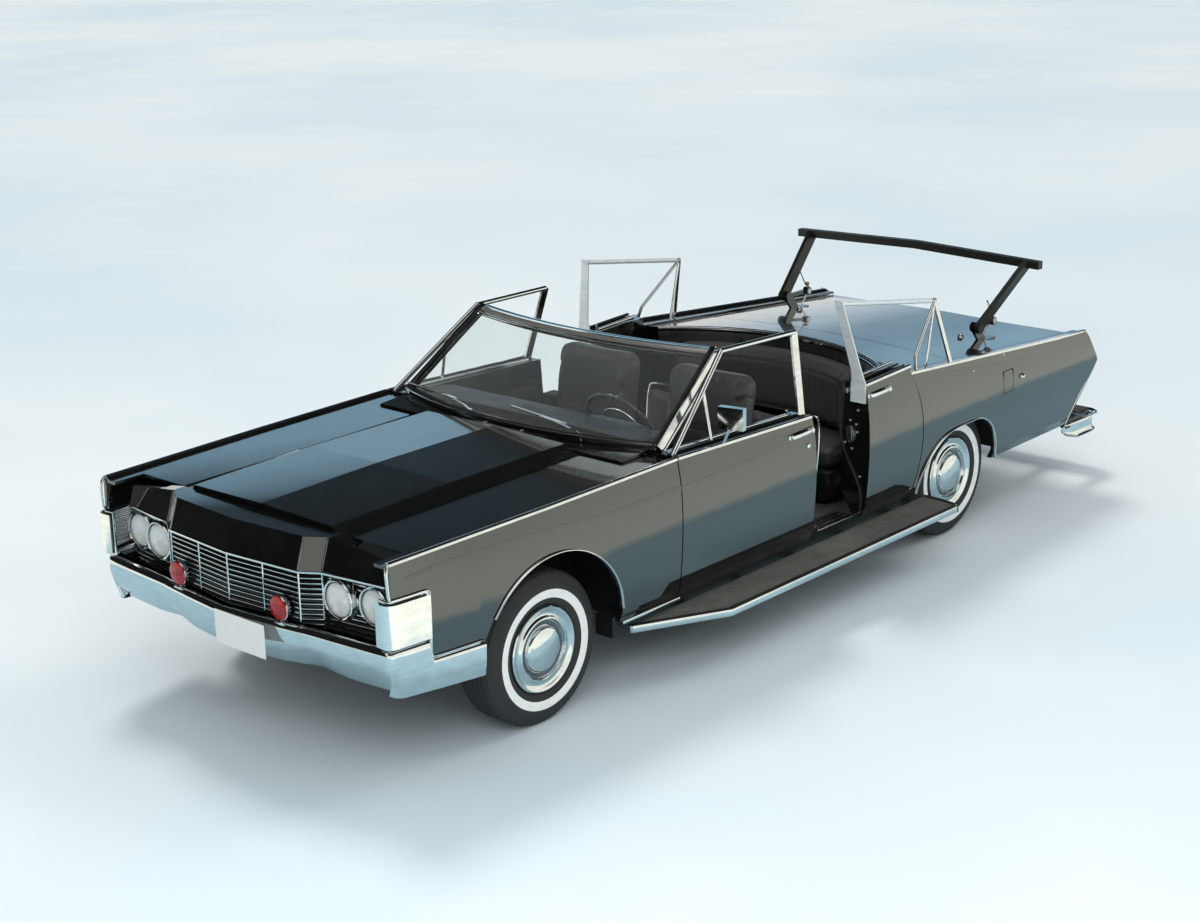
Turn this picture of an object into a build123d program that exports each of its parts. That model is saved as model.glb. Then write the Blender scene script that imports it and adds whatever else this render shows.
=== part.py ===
"""Open four-door escort limousine with running boards: separate panels, frames, seats and running gear.

Lengths are in millimetres. The model is laid out from the front axle (X forward, Y left, Z up from the floor)
and is moved at export so that its origin lies on the floor under the middle of the whole vehicle.
"""
import os
from math import cos, radians, sin, sqrt

from build123d import *

# ---- Clearances and sheet ----
shut_gap = 7
seat_gap = 4
ear_gap = 6
board_gap = 14
glass_gap = 1
stub_gap = 8
arm_clearance = 6
loose = 1
skin = 14
wall = 28
side_cut_y = 700
outside_y = 1100
floor_thick = 18
jamb_thick = 14
jamb_lead = 60
jamb_run = 200

# ---- Wheels and axles ----
wheelbase = 3200
rear_axle_x = -wheelbase
tyre_radius = 348
tyre_width = 222
tyre_shoulder = 42
rim_radius = 196
rim_width = 160
hub_height = tyre_radius
track_half = 772
cover_stand_out = 6
disc_in = 52
axle_tube_radius = 42
stub_radius = 26
stub_end = 62
drum_radius = 100
drum_end = 34
kingpin_y = track_half - 104
kingpin_radius = 24
knuckle_half = 105

# ---- Stations of the front body, from the front axle ----
fender_nose_x = 905
hood_front_x = 768
rail_end_x = 660
bulge_full_x = 450
sill_front_x = -470
cowl_x = -640
firewall_x = -700
front_door_front_x = -835
front_door_rear_x = -1850
post_front_x = front_door_rear_x - 30

# ---- Stations of the rear body, from the rear axle ----
rear_door_rear_x = rear_axle_x + 500
rear_door_front_x = rear_door_rear_x + 400
cockpit_rear_x = rear_door_rear_x - 310
heel_x = rear_door_rear_x - 45
lid_front_x = rear_axle_x - 60
lid_rear_x = rear_axle_x - 1200
tail_low_x = rear_axle_x - 1130
tail_top_x = rear_axle_x - 1340
tail_waist_x = rear_axle_x - 1440

# ---- Heights and half widths of the body side ----
belt_front_z = 1003
belt_cowl_z = 1020
belt_pillar_z = 985
belt_quarter_z = 1020
belt_tail_z = 872
rear_door_rise = 40
tail_waist_z = 690
tail_low_z = 330
bulge_z = 760
sill_top_z = 400
sill_z = 352
belt_front_y = 930
belt_y = 958
belt_tail_y = 928
bulge = 30
nose_bulge = 6
sill_in = 22
crest_width = 24
crest_drop = 6
seam_bow = 90

# ---- Wheel openings ----
arch_radius = 448
arch_centre_x = 10
arch_centre_z = 365
rear_arch_top_z = 640
rear_arch_front = 452
rear_arch_back = 352
rear_arch_flat_front = 90
rear_arch_flat_back = 140
house_radius = 400
house_foot = 60
house_outer_y = 915

# ---- Doors ----
door_wall = 165
door_top_wall = 125
door_foot_wall = 62
slot_width = 34
slot_depth = 120
slot_in = 32
mirror_back = 330

# ---- Bonnet, cowl, deck ----
hood_half = 548
hood_edge = 75
hood_slope = 26
hood_thick = 26
hood_crown = 22
hood_drop = 14
hood_middle_x = 100
cowl_depth = 40
cowl_half = 790
shelf_drop = 12
deck_half = belt_y - 120
deck_drop = 22
deck_crown = 34
deck_thick = 24

# ---- Nose ----
grille_x = 938
grille_kink_y = 420
grille_outer_y = 503
grille_side_setback = 52
nose_end_setback = 97
nose_v = 34
grille_low_z = 580
grille_bars = 12
grille_bar = 6
grille_depth = 38
grille_front = 6
grille_backing = 8
grille_sill = 26
grille_moulding = 14
header_half = 838
header_top_z = 1006
header_low_z = 874
header_lean = 45
header_fall = 50
header_inner_share = 0.98
lamp_inner_y = 588
lamp_outer_y = 767
lamp_z = 766
lamp_radius = 84
lamp_deep = 40
lamp_gap = 2
corner_lamp_back_x = 724
corner_lamp_top_z = 845
corner_lamp_inner_y = header_half + 30

# ---- Bumpers, plate, warning lamps ----
bumper_x = 1032
bumper_half = 935
bumper_sweep = 100
bumper_under = 70
bumper_wall = 24
bumper_lip = 24
bumper_top_z = 640
bumper_low_z = 440
bumper_wing_x = 430
bumper_side_low_z = 392
bumper_side_top_z = 548
plate_width = 320
plate_height = 150
plate_thick = 3
plate_stand_off = 2
plate_y = 135
plate_z = 556
warning_lamp_y = 333
warning_lamp_z = 702
warning_lamp_radius = 56
warning_lamp_deep = 42

# ---- Boards and step ----
board_front_x = -540
board_bend_x = -985
board_rear_x = rear_axle_x + 315
board_outer_y = 1150
board_top_z = 294
board_thick = 30
board_brackets = 5
bracket_deep = 18
step_in_x = rear_axle_x - 1200
step_out_x = rear_axle_x - 1670
step_half = 905
step_top_z = 335
step_low_z = 222
step_tread = 190
step_end_wall = 40
step_arm_y = 540
step_arm_reach = 300

# ---- Windscreen and the frames above the doors ----
screen_foot_x = front_door_front_x - 11
screen_foot_y = 818
screen_foot_z = 1046
screen_head_x = screen_foot_x - 497
screen_head_y = 752
screen_head_z = 1390
screen_bow = 150
screen_head_share = 0.7
screen_tube = 34
screen_foot_drop = 18
screen_foot_rise = 6
glass_thick = 6
frame_bar = 26
front_frame_x = front_door_rear_x - 34
front_frame_y = 818
front_frame_z = 1372
rear_frame_x = rear_door_front_x + 76
rear_frame_y = 838
rear_frame_z = 1465
post_foot_z = 945
post_plate_width = 92
post_plate_top = 46
post_plate_thick = 8
triangle_x = rear_door_rear_x - 351
triangle_y = 862
triangle_z = 1319
triangle_front_x = rear_door_rear_x - 68
triangle_rear_x = rear_door_rear_x - 400
triangle_kink_z = 1085
triangle_rod = 9
rail_stop = 34

# ---- Handrail over the deck ----
rail_pivot_x = rear_axle_x - 601
rail_pivot_y = 675
rail_pivot_z = 1000
rail_foot_x = rail_pivot_x - 124
rail_bar_x = rail_pivot_x - 372
rail_bar_y = deck_half - shut_gap
rail_bar_z = 1307
rail_bar = 44
rail_crown = 22
rail_post = 62
rail_post_thick = 28
rail_post_y = 742
pin_radius = 6
ear_thick = 16
ear_width = 56
arm_length = 190

# ---- Floor, sills, front rails ----
floor_z = 262
tunnel_rise = 156
rear_floor_z = 500
rear_floor_half = 630
sill_inner_y = 770
sill_outer_y = 872
post_stub_z = 790
apron_y = 437
rail_top_z = 400

# ---- Cabin ----
cockpit_half = 770
dash_half = 745
dash_drop = 20
dash_depth = 250
dash_height = 310
dash_hood_drop = 14
dash_panel_z = 180
front_seat_x = front_door_rear_x + 350
front_seat_y = 375
front_seat_half = 285
front_seat_reach = 300
front_seat_fold = 170
front_seat_lean = 415
front_seat_back_top = 1180
seat_base_z = 470
jump_seat_x = rear_door_front_x + 150
jump_seat_y = 345
jump_seat_half = 235
jump_seat_top = 780
jump_seat_reach = 170
jump_seat_rise = 190
rear_seat_x = rear_door_rear_x + 140
rear_cushion_z = 560
rear_seat_reach = 70
rear_seat_depth = 350
rear_back_z = 985
rear_bolster_half = 750
rear_bolster_z = 764
seat_back_thick = 118
steer_wheel_x = front_door_front_x - 295
steer_wheel_z = 985
steer_wheel_radius = 205
steer_rim_radius = 11
steer_tilt = 28
column_radius = 24

# ---- Springs, arms, exhaust, engine ----
spring_y = 500
spring_reach = 560
spring_deep = 30
arm_low_thick = 26
arm_high_thick = 22
pipe_radius = 26
muffler_radius = 72
shaft_radius = 38
engine_x = 20
engine_length = 820
engine_width = 560
engine_high_z = 860

tunnel_half = front_seat_y - front_seat_half - seat_gap
tunnel_top = floor_z + tunnel_rise

PARTS = {}


def lerp(a, b, t):
    return a + (b - a) * t


def table(x, rows):
    """Value at x of a line through (x, value) rows given from front to rear."""
    if x >= rows[0][0]:
        return rows[0][1]
    for (x0, v0), (x1, v1) in zip(rows, rows[1:]):
        if x >= x1:
            return lerp(v0, v1, (x - x0) / (x1 - x0))
    return rows[-1][1]


def belt_z(x):
    return table(x, [(fender_nose_x, belt_front_z), (front_door_front_x, belt_cowl_z),
                     (front_door_rear_x, belt_pillar_z), (rear_door_rear_x, belt_quarter_z),
                     (tail_top_x, belt_tail_z)])


def side_y(x):
    return table(x, [(fender_nose_x, belt_front_y), (0, belt_y - 4), (front_door_front_x, belt_y),
                     (rear_door_rear_x, belt_y), (tail_top_x, belt_tail_y)])


def bulge_y(x):
    """How far the widest line stands outside the belt: little at the nose, full behind the wheel."""
    return table(x, [(fender_nose_x, nose_bulge), (bulge_full_x, bulge), (tail_top_x, bulge)])


def both(shape):
    """The left piece and its mirror image on the right."""
    return [shape, mirror(shape, Plane.XZ)]


def box(x0, x1, y0, y1, z0, z1):
    centre = Pos((x0 + x1) / 2, (y0 + y1) / 2, (z0 + z1) / 2)
    return centre * Box(abs(x1 - x0), abs(y1 - y0), abs(z1 - z0))


def prism_y(points, y0, y1):
    """A polygon drawn in X and Z, carried along Y from y0 to y1."""
    face = make_face(Polyline([(x, y0, z) for x, z in points], close=True))
    return extrude(face, amount=y1 - y0, dir=(0, 1, 0))


def prism_z(points, z0, z1):
    """A polygon drawn in X and Y, carried along Z from z0 to z1."""
    face = make_face(Polyline([(x, y, z0) for x, y in points], close=True))
    return extrude(face, amount=z1 - z0, dir=(0, 0, 1))


def rod_between(a, b, radius):
    """A round bar from point a to point b."""
    line = Vector(*b) - Vector(*a)
    plane = Plane(origin=a, z_dir=line.normalized())
    return extrude(plane * Circle(radius), amount=line.length)


def bar_between(a, b, width, depth, x_dir=(1, 0, 0)):
    """A flat bar of the given width (along x_dir) and depth from point a to point b."""
    line = Vector(*b) - Vector(*a)
    plane = Plane(origin=a, x_dir=x_dir, z_dir=line.normalized())
    return extrude(plane * Rectangle(width, depth), amount=line.length)


def tube_path(points, radius):
    """Round bars through the points with a ball at each bend, as one solid."""
    shape = None
    for a, b in zip(points, points[1:]):
        piece = rod_between(a, b, radius)
        shape = piece if shape is None else shape + piece
    for point in points[1:-1]:
        shape += Pos(*point) * Sphere(1.03 * radius)
    return shape


def skin_line(x, rise=0.0, inset=0.0, drop=0.0):
    """Body line at x from the belt to the sill, as a curve; inset moves it inward, drop lowers its top."""
    top = belt_z(x) + rise - drop
    belt = side_y(x) - inset
    wide = belt + bulge_y(x)
    return Spline((x, belt, top - crest_drop), (x, lerp(belt, wide, 0.72), lerp(top, bulge_z, 0.5)),
                  (x, wide, bulge_z), (x, wide - 6, lerp(bulge_z, sill_top_z, 0.55)),
                  (x, wide - sill_in, sill_top_z))


def panel_face(x, shelf_y):
    """Section of a thin side panel: outer skin, crest, shelf in to shelf_y, and back down inside."""
    outer = skin_line(x)
    inner = skin_line(x, inset=wall, drop=shelf_drop + skin - crest_drop)
    top = belt_z(x)
    belt = side_y(x)
    foot = (outer @ 1).Y - sill_in
    low = Polyline(outer @ 1, (x, foot, sill_z), (x, foot - wall, sill_z), inner @ 1)
    cap = Polyline(outer @ 0, (x, belt - crest_drop, top), (x, belt - crest_width, top),
                   (x, belt - 2 * crest_width, top - shelf_drop), (x, shelf_y, top - shelf_drop),
                   (x, shelf_y, top - shelf_drop - skin), inner @ 0)
    return outline(outer, low, inner, cap)


def outline(*curves):
    """A flat face inside a closed run of curves."""
    return make_face(Wire([edge for curve in curves for edge in curve.edges()]))


def side_panel(stations, shelf_y):
    return loft([panel_face(x, shelf_y) for x in stations], ruled=True)


def door_face(x, rise):
    """Section of a whole-wall door: outer skin, foot, inner trim, and a top with the window slot."""
    outer = skin_line(x, rise)
    top = belt_z(x) + rise
    belt = side_y(x)
    wide = belt + bulge
    foot = (outer @ 1).Y - sill_in
    inner_slot = belt - slot_in - slot_width
    rest = Polyline(outer @ 1, (x, foot, sill_z), (x, foot - door_foot_wall, sill_z),
                    (x, wide - door_wall, sill_top_z + door_foot_wall),
                    (x, wide - door_wall, bulge_z + door_foot_wall),
                    (x, belt - door_top_wall, top - crest_width), (x, belt - door_top_wall, top),
                    (x, inner_slot, top), (x, inner_slot, top - slot_depth),
                    (x, belt - slot_in, top - slot_depth),
                    (x, belt - slot_in, top), (x, belt - crest_drop, top), outer @ 0)
    return outline(outer, rest)


def add(node, shapes):
    """Collects solids for one node."""
    group = shapes if isinstance(shapes, (list, tuple)) else [shapes]
    PARTS.setdefault(node, []).extend(s for shape in group for s in shape.solids())


def band_z(line, near, far, z0, z1):
    """A wall that follows a plan line (x, y), between two setbacks from it, from z0 up to z1."""
    points = [(x - near, y) for x, y in line] + [(x - far, y) for x, y in reversed(line)]
    return prism_z(points, z0, z1)


def plan_face(points, z):
    return make_face(Polyline([(x, y, z) for x, y in points], close=True))


def mirrored_line(half):
    """The plan line from right to left, given its left half from the middle outward."""
    return [(x, -y) for x, y in reversed(half[1:])] + half


# ---- Side panels ----
def arch_front():
    return Pos(arch_centre_x, 0, arch_centre_z) * Rot(90, 0, 0) * Cylinder(arch_radius, 4 * belt_y)


def arch_rear():
    """Opening over a rear wheel: a long front slope, a flat top and a short rear curve."""
    x = rear_axle_x
    front = x + rear_arch_front
    back = x - rear_arch_back
    flat_front, flat_back = x + rear_arch_flat_front, x - rear_arch_flat_back
    top = rear_arch_top_z
    low = sill_z / 2
    edges = [Line((front, 0, low), (front, 0, sill_z)),
             ThreePointArc((front, 0, sill_z), (x + 275, 0, top - 72), (flat_front, 0, top)),
             Line((flat_front, 0, top), (flat_back, 0, top)),
             ThreePointArc((flat_back, 0, top), (x - 300, 0, top - 95), (back, 0, sill_z)),
             Polyline((back, 0, sill_z), (back, 0, low), (front, 0, low))]
    return extrude(outline(*edges), amount=2 * belt_y, dir=(0, 1, 0), both=True)


def behind_rear_seam(gap):
    """Everything behind the curved shut line of the rear door, moved forward by gap."""
    top, mid, low = rear_door_rear_x + gap, rear_door_rear_x - seam_bow + gap, rear_door_rear_x - 16 + gap
    high_z = belt_quarter_z + 4 * rear_door_rise
    edges = [ThreePointArc((top, 0, belt_quarter_z), (mid, 0, bulge_z - 60), (low, 0, sill_z)),
             Polyline((low, 0, sill_z), (low, 0, 0), (tail_waist_x - 500, 0, 0),
                      (tail_waist_x - 500, 0, high_z),
                      (top, 0, high_z), (top, 0, belt_quarter_z))]
    return extrude(outline(*edges), amount=2 * belt_y, dir=(0, 1, 0), both=True)


def front_fender():
    """Left front fender and its shelf, cut for the wheel, the corner lamp and the bumper's wing."""
    rear = front_door_front_x + shut_gap
    ahead = fender_nose_x + 50
    panel = side_panel([fender_nose_x, bulge_full_x, 0, -bulge_full_x, rear], hood_half + shut_gap)
    panel -= arch_front()
    panel -= box(corner_lamp_back_x, ahead, side_cut_y, outside_y, 0, corner_lamp_top_z + shut_gap)
    panel -= box(bumper_wing_x - shut_gap, ahead, side_cut_y, outside_y, 0, bumper_side_top_z + shut_gap)
    panel -= box(hood_front_x - 20, ahead, 0, header_half + shut_gap, corner_lamp_top_z + 5, outside_y)
    panel -= box(cowl_x, front_door_front_x - 50, 0, cowl_half + shut_gap, corner_lamp_top_z + 5, outside_y)
    jamb = jamb_block(front_door_front_x + jamb_lead)
    return panel + (jamb & box(rear, rear + jamb_thick, 0, outside_y, 0, outside_y))


def jamb_block(x):
    """A run of closed wall with the doors' own section, from which the panels' end faces are cut."""
    return loft([door_face(x, -shelf_drop - 2), door_face(x - jamb_run, -shelf_drop - 2)], ruled=True)


def quarter_panel():
    """Left quarter panel behind the rear door, cut for the wheel and sloped at the tail."""
    stations = [rear_door_rear_x + 8, rear_axle_x - 200, rear_axle_x - 800, tail_waist_x]
    panel = side_panel(stations, deck_half + shut_gap) & behind_rear_seam(0)
    panel += (jamb_block(rear_door_rear_x + jamb_lead)
              & behind_rear_seam(0)) - behind_rear_seam(-jamb_thick)
    panel -= arch_rear()
    behind = tail_waist_x - 300
    tail = [(tail_top_x, outside_y), (tail_top_x - 6, belt_tail_z - 4), (tail_waist_x, tail_waist_z),
            (tail_low_x, tail_low_z), (tail_low_x, 0), (behind, 0), (behind, outside_y)]
    return panel - prism_y(tail, -outside_y, outside_y)


def front_door():
    """Left front door, closed by the four sections between its two shut lines."""
    x = front_door_front_x
    return loft([door_face(x, 0) for x in (x, x - 345, x - 685, front_door_rear_x)], ruled=True)


def rear_door():
    """Left rear door: a short door that stands a little proud of the quarter at the belt."""
    stations = [rear_door_front_x, rear_door_front_x - 200, rear_door_rear_x - seam_bow - 10]
    door = loft([door_face(x, rear_door_rise) for x in stations], ruled=True)
    return door - behind_rear_seam(shut_gap)


# ---- Underbody ----
def underbody():
    """Floor, sills, firewall, raised rear floor, wheelhouses, front rails and the stubs of the door posts."""
    shape = box(firewall_x, heel_x, -sill_inner_y, sill_inner_y, floor_z - floor_thick, floor_z)
    shape += box(firewall_x, heel_x, -tunnel_half, tunnel_half, floor_z - floor_thick, tunnel_top)
    inner, under = tunnel_half - floor_thick, tunnel_top - floor_thick
    shape -= box(firewall_x + 1, heel_x - 1, -inner, inner, 0, under)
    shape += box(heel_x, heel_x - floor_thick, -sill_inner_y, sill_inner_y, floor_z - floor_thick,
                 rear_floor_z)
    shape -= box(heel_x + 1, heel_x - floor_thick - 1, -inner, inner, 0, under)
    shape += box(heel_x, tail_low_x, -rear_floor_half, rear_floor_half, rear_floor_z - floor_thick,
                 rear_floor_z)
    shape += box(firewall_x, firewall_x + floor_thick, -sill_outer_y, sill_outer_y, floor_z - floor_thick,
                 belt_z(cowl_x) - cowl_depth)
    for sill in both(sill_and_post()):
        shape += sill
    return [shape] + both(front_rail()) + both(wheelhouse())


def sill_and_post():
    """Left sill with the stub of the door post."""
    sill = box(sill_front_x, heel_x - floor_thick, sill_inner_y, sill_outer_y, floor_z - floor_thick,
               sill_z - 8)
    return sill + box(post_front_x, post_front_x - 85, sill_inner_y - 70, sill_outer_y - 20, floor_z,
                      post_stub_z)


def front_rail():
    """Left front rail with the inner wing above it, ahead of the firewall."""
    back = firewall_x + floor_thick + loose
    rail = box(back, rail_end_x, apron_y - 55, apron_y + floor_thick, rail_top_z - 100, rail_top_z)
    return rail + box(back, rail_end_x - 20, apron_y, apron_y + floor_thick, rail_top_z - 20,
                      belt_z(cowl_x) - 110)


def wheelhouse():
    """Left rear wheelhouse, beside the raised floor."""
    width = house_outer_y - rear_floor_half - loose
    house = extrude(Pos(0, loose, 0) * wheelhouse_side(house_radius), amount=width, dir=(0, 1, 0))
    inside = Pos(0, floor_thick, 0) * wheelhouse_side(house_radius - floor_thick)
    return house - extrude(inside, amount=house_outer_y, dir=(0, 1, 0))


def wheelhouse_side(radius):
    """Side view of the left rear wheelhouse: an arch of the given radius over a flat foot."""
    x, y, z = rear_axle_x, rear_floor_half, hub_height + house_foot
    reach = sqrt(radius ** 2 - house_foot ** 2)
    arch = ThreePointArc((x + reach, y, z), (x, y, hub_height + radius), (x - reach, y, z))
    return outline(arch, Line(arch @ 1, arch @ 0))


# ---- Nose ----
def nose_half():
    """Left half of the nose in plan, from the middle outward, at the header's lower edge."""
    return [(grille_x + nose_v, 0), (grille_x, grille_kink_y),
            (grille_x - grille_side_setback, grille_outer_y),
            (grille_x - nose_end_setback, header_half)]


def header_panel():
    """Sloped panel above the grille, from its lower moulding back to the bonnet's front edge."""
    back = hood_front_x + shut_gap
    low = mirrored_line(nose_half()) + [(back, header_half), (back, -header_half)]
    high = [(x - header_lean, y) for x, y in mirrored_line(nose_half())]
    high += [(back, header_half), (back, -header_half)]
    shape = loft([plan_face(low, header_low_z), plan_face(high, header_top_z)], ruled=True)
    inside = [[(x - skin, y * header_inner_share) for x, y in line] for line in (low, high)]
    shape -= loft([plan_face(inside[0], header_low_z - 1), plan_face(inside[1], header_top_z - skin)],
                  ruled=True)
    end, above = -header_half - 5, header_top_z + header_fall + 10
    fall = [(-grille_outer_y, header_top_z + 1), (end, header_top_z - header_fall), (end, above),
            (-grille_outer_y, above)]
    for sign in (1, -1):
        face = make_face(Polyline([(0, sign * y, z) for y, z in fall], close=True))
        shape -= extrude(face, amount=2 * fender_nose_x, dir=(1, 0, 0))
    return shape


def grille():
    """Backing wall, thin horizontal bars and upright dividers that follow the nose in plan."""
    line = mirrored_line(nose_half())
    top = header_low_z - 4
    back = grille_depth + grille_backing
    shape = band_z(line, grille_depth, back, grille_low_z, top)
    pitch = (top - grille_low_z) / grille_bars
    for i in range(grille_bars):
        z = grille_low_z + (i + 0.5) * pitch
        shape += band_z(mirrored_line(nose_half()[:3]), grille_front, grille_depth + 1, z, z + grille_bar)
        shape += band_z(line, grille_depth - 12, grille_depth + 1, z, z + grille_bar)
    for y in (-grille_kink_y / 2, 0, grille_kink_y / 2):
        x = grille_x + nose_v * (1 - abs(y) / grille_kink_y) - grille_front
        shape += box(x, x - grille_depth + grille_front + 6, y - 4, y + 4, grille_low_z, top)
    for z in (grille_low_z - grille_sill, grille_low_z - 4):
        shape += band_z(line, 2, back, z, z + grille_moulding)
    shape += band_z(line, grille_depth, back, grille_low_z - grille_sill, grille_low_z)
    for x, y in headlamp_places():
        for sign in (1, -1):
            hole = Rot(0, 90, 0) * Cylinder(lamp_radius + lamp_gap, 3 * lamp_deep)
            shape -= Pos(x + lamp_deep / 2, sign * y, lamp_z) * hole
    return shape


def headlamp_places():
    return [(grille_x - grille_side_setback - 8, lamp_inner_y),
            (grille_x - nose_end_setback + 4, lamp_outer_y)]


def turned(profile, origin, axis_dir):
    """A solid of revolution from (along the axis, radius) points, about an axis through origin."""
    plane = Plane(origin=origin, x_dir=axis_dir, z_dir=(0, 0, 1) if abs(axis_dir[2]) < 0.5 else (0, 1, 0))
    face = plane * make_face(Polyline(profile, close=True))
    return revolve(face, axis=Axis(origin, axis_dir))


def headlamp(x, y):
    """One round lamp: bucket, bezel ring and domed lens, facing forward."""
    rim = lamp_radius
    profile = [(-lamp_deep, 0), (-lamp_deep, rim - 8), (-4, rim), (4, rim - 4), (4, rim - 11),
               (-6, rim - 13),
               (3, rim * 0.6), (9, rim * 0.3), (11, 0)]
    return turned(profile, (x, y, lamp_z), (1, 0, 0))


def corner_lamp():
    """Left wrap-around lamp at the fender's front corner."""
    side = side_y(corner_lamp_back_x) + bulge_y(corner_lamp_back_x) - 3
    plan = [(corner_lamp_back_x, side), (fender_nose_x, belt_front_y + 3),
            (fender_nose_x + 8, belt_front_y - 10),
            (fender_nose_x + 4, corner_lamp_inner_y), (corner_lamp_back_x, corner_lamp_inner_y)]
    return prism_z(plan, bumper_top_z + shut_gap, corner_lamp_top_z)


def bumper_line():
    """Left half of the bumper's front edge in plan, from the middle outward."""
    return [(bumper_x, 0), (bumper_x - bumper_sweep / 2, 0.45 * bumper_half),
            (bumper_x - bumper_sweep, bumper_half)]


def front_bumper():
    """Bumper that follows the nose and rounds under, with a wing and a bracket on each side."""
    line = mirrored_line(bumper_line())
    levels = [(bumper_low_z, bumper_under), (lerp(bumper_low_z, bumper_top_z, 0.62), 0),
              (bumper_top_z, bumper_lip)]
    faces = []
    for z, setback in levels:
        front = [(x - setback, y) for x, y in line]
        faces.append(plan_face(front + [(x - bumper_wall, y) for x, y in reversed(front)], z))
    shape = loft(faces, ruled=True)
    for side in both(bumper_wing() + bumper_bracket()):
        shape += side
    return shape


def bumper_bracket():
    """Left bracket from the front rail's top to the back of the bumper."""
    (x0, y0), (x1, y1) = bumper_line()[:2]
    reach = lerp(x0, x1, (apron_y - 20) / y1) - bumper_under - bumper_wall / 2
    return box(rail_end_x - 60, reach, apron_y - 45, apron_y - 5, rail_top_z, bumper_low_z + 40)


def bumper_wing():
    """Left side of the bumper, from its pointed corner back to the wheel, flush with the fender."""
    front = bumper_x - bumper_sweep
    lamp_z0 = bumper_top_z - 1
    side = [(front - 20, bumper_low_z), (front - 80, bumper_side_low_z + 22),
            (bumper_wing_x + 20, bumper_side_low_z),
            (bumper_wing_x, bumper_side_top_z), (corner_lamp_back_x + shut_gap, bumper_side_top_z),
            (corner_lamp_back_x + shut_gap, lamp_z0), (front - 10, lamp_z0)]
    rear_y = side_y(bumper_wing_x) + bulge
    plan = [(front + 20, bumper_half), (bumper_wing_x - 20, rear_y),
            (bumper_wing_x - 20, rear_y - bumper_wall),
            (front + 20, bumper_half - bumper_wall)]
    return prism_y(side, bumper_half - 60, rear_y + 20) & prism_z(plan, 0, 2 * bumper_top_z)


def warning_lamp(y):
    """Round lamp on a short stalk on the bumper's top edge."""
    (x0, y0), (x1, y1) = bumper_line()[:2]
    line = lerp(x0, x1, abs(y) / y1)
    front = line - 6
    body = Rot(0, 90, 0) * Cylinder(warning_lamp_radius, warning_lamp_deep)
    stalk = Cylinder(8, warning_lamp_z - bumper_top_z)
    stalk_x = line - bumper_lip - bumper_wall / 2
    lamp = Pos(front - warning_lamp_deep / 2, y, warning_lamp_z) * body
    return lamp + Pos(stalk_x, y, (bumper_top_z + warning_lamp_z) / 2) * stalk


# ---- Bonnet, cowl, windscreen ----
def hood():
    """Bonnet with a raised centre between two crisp edges, slightly narrower in front."""
    def face(x, z):
        half = hood_half
        ridge = hood_half - hood_edge
        flat = ridge - hood_slope
        points = [(half, z - hood_drop), (ridge, z), (flat, z + hood_crown), (0, z + hood_crown + 8),
                  (-flat, z + hood_crown), (-ridge, z), (-half, z - hood_drop),
                  (-half, z - hood_drop - hood_thick), (half, z - hood_drop - hood_thick)]
        return make_face(Polyline([(x, y, h) for y, h in points], close=True))
    middle_x = hood_middle_x
    return loft([face(hood_front_x, belt_front_z - 2), face(middle_x, belt_z(middle_x) + 6),
                 face(cowl_x, belt_z(cowl_x))], ruled=True)


def cowl():
    """Fixed panel between the bonnet and the windscreen's foot."""
    z = belt_z(cowl_x)
    front = cowl_x - shut_gap
    low = z - cowl_depth
    high = screen_foot_z - screen_foot_drop
    side = [(front, low), (front, z - 2), (screen_foot_x + 40, high), (front_door_front_x, high),
            (front_door_front_x, low)]
    return prism_y(side, -cowl_half, cowl_half)


def bow(x, y, z, out, thick):
    """A curved strip in plan, from side to side through x + out in the middle, thick from front to back."""
    front = ThreePointArc((x, y, z), (x + out, 0, z), (x, -y, z))
    back = ThreePointArc((x - thick, -y, z), (x - thick + out, 0, z), (x - thick, y, z))
    return outline(front, Line(front @ 1, back @ 0), back, Line(back @ 1, front @ 0))


def windscreen_frame():
    """Bowed foot and header, joined by a pillar each side."""
    foot = extrude(bow(screen_foot_x, screen_foot_y, screen_foot_z - screen_foot_drop, screen_bow,
                       screen_tube),
                   amount=screen_foot_drop + screen_foot_rise)
    head = extrude(bow(screen_head_x, screen_head_y, screen_head_z - screen_tube,
                       screen_bow * screen_head_share, screen_tube),
                   amount=screen_tube)
    shape = foot + head
    for sign in (1, -1):
        a = (screen_foot_x - screen_tube / 2, sign * screen_foot_y, screen_foot_z - 16)
        b = (screen_head_x - screen_tube / 2, sign * screen_head_y, screen_head_z - 4)
        shape += bar_between(a, b, screen_tube, screen_tube)
    return shape


def windscreen_glass():
    """Curved pane between the foot, the header and the pillars."""
    faces = []
    for z in (screen_foot_z + screen_foot_rise + glass_gap, screen_head_z - screen_tube - glass_gap):
        t = (z - screen_foot_z) / (screen_head_z - screen_foot_z)
        x = lerp(screen_foot_x, screen_head_x, t) - screen_tube / 2 + glass_thick / 2
        y = lerp(screen_foot_y, screen_head_y, t) - screen_tube / 2 - 8 * glass_gap
        faces.append(bow(x, y, z, screen_bow * lerp(1, screen_head_share, t), glass_thick))
    return loft(faces, ruled=True)


# ---- Deck and tail ----
def deck_z(x):
    return belt_z(x) - deck_drop


def deck_face(x, half, thick):
    """Crowned section of the deck at station x."""
    z = deck_z(x)
    top = ThreePointArc((x, half, z), (x, 0, z + deck_crown), (x, -half, z))
    low = ThreePointArc((x, -half, z - thick), (x, 0, z + deck_crown - thick), (x, half, z - thick))
    return outline(top, Line(top @ 1, low @ 0), low, Line(low @ 1, top @ 0))


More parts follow.
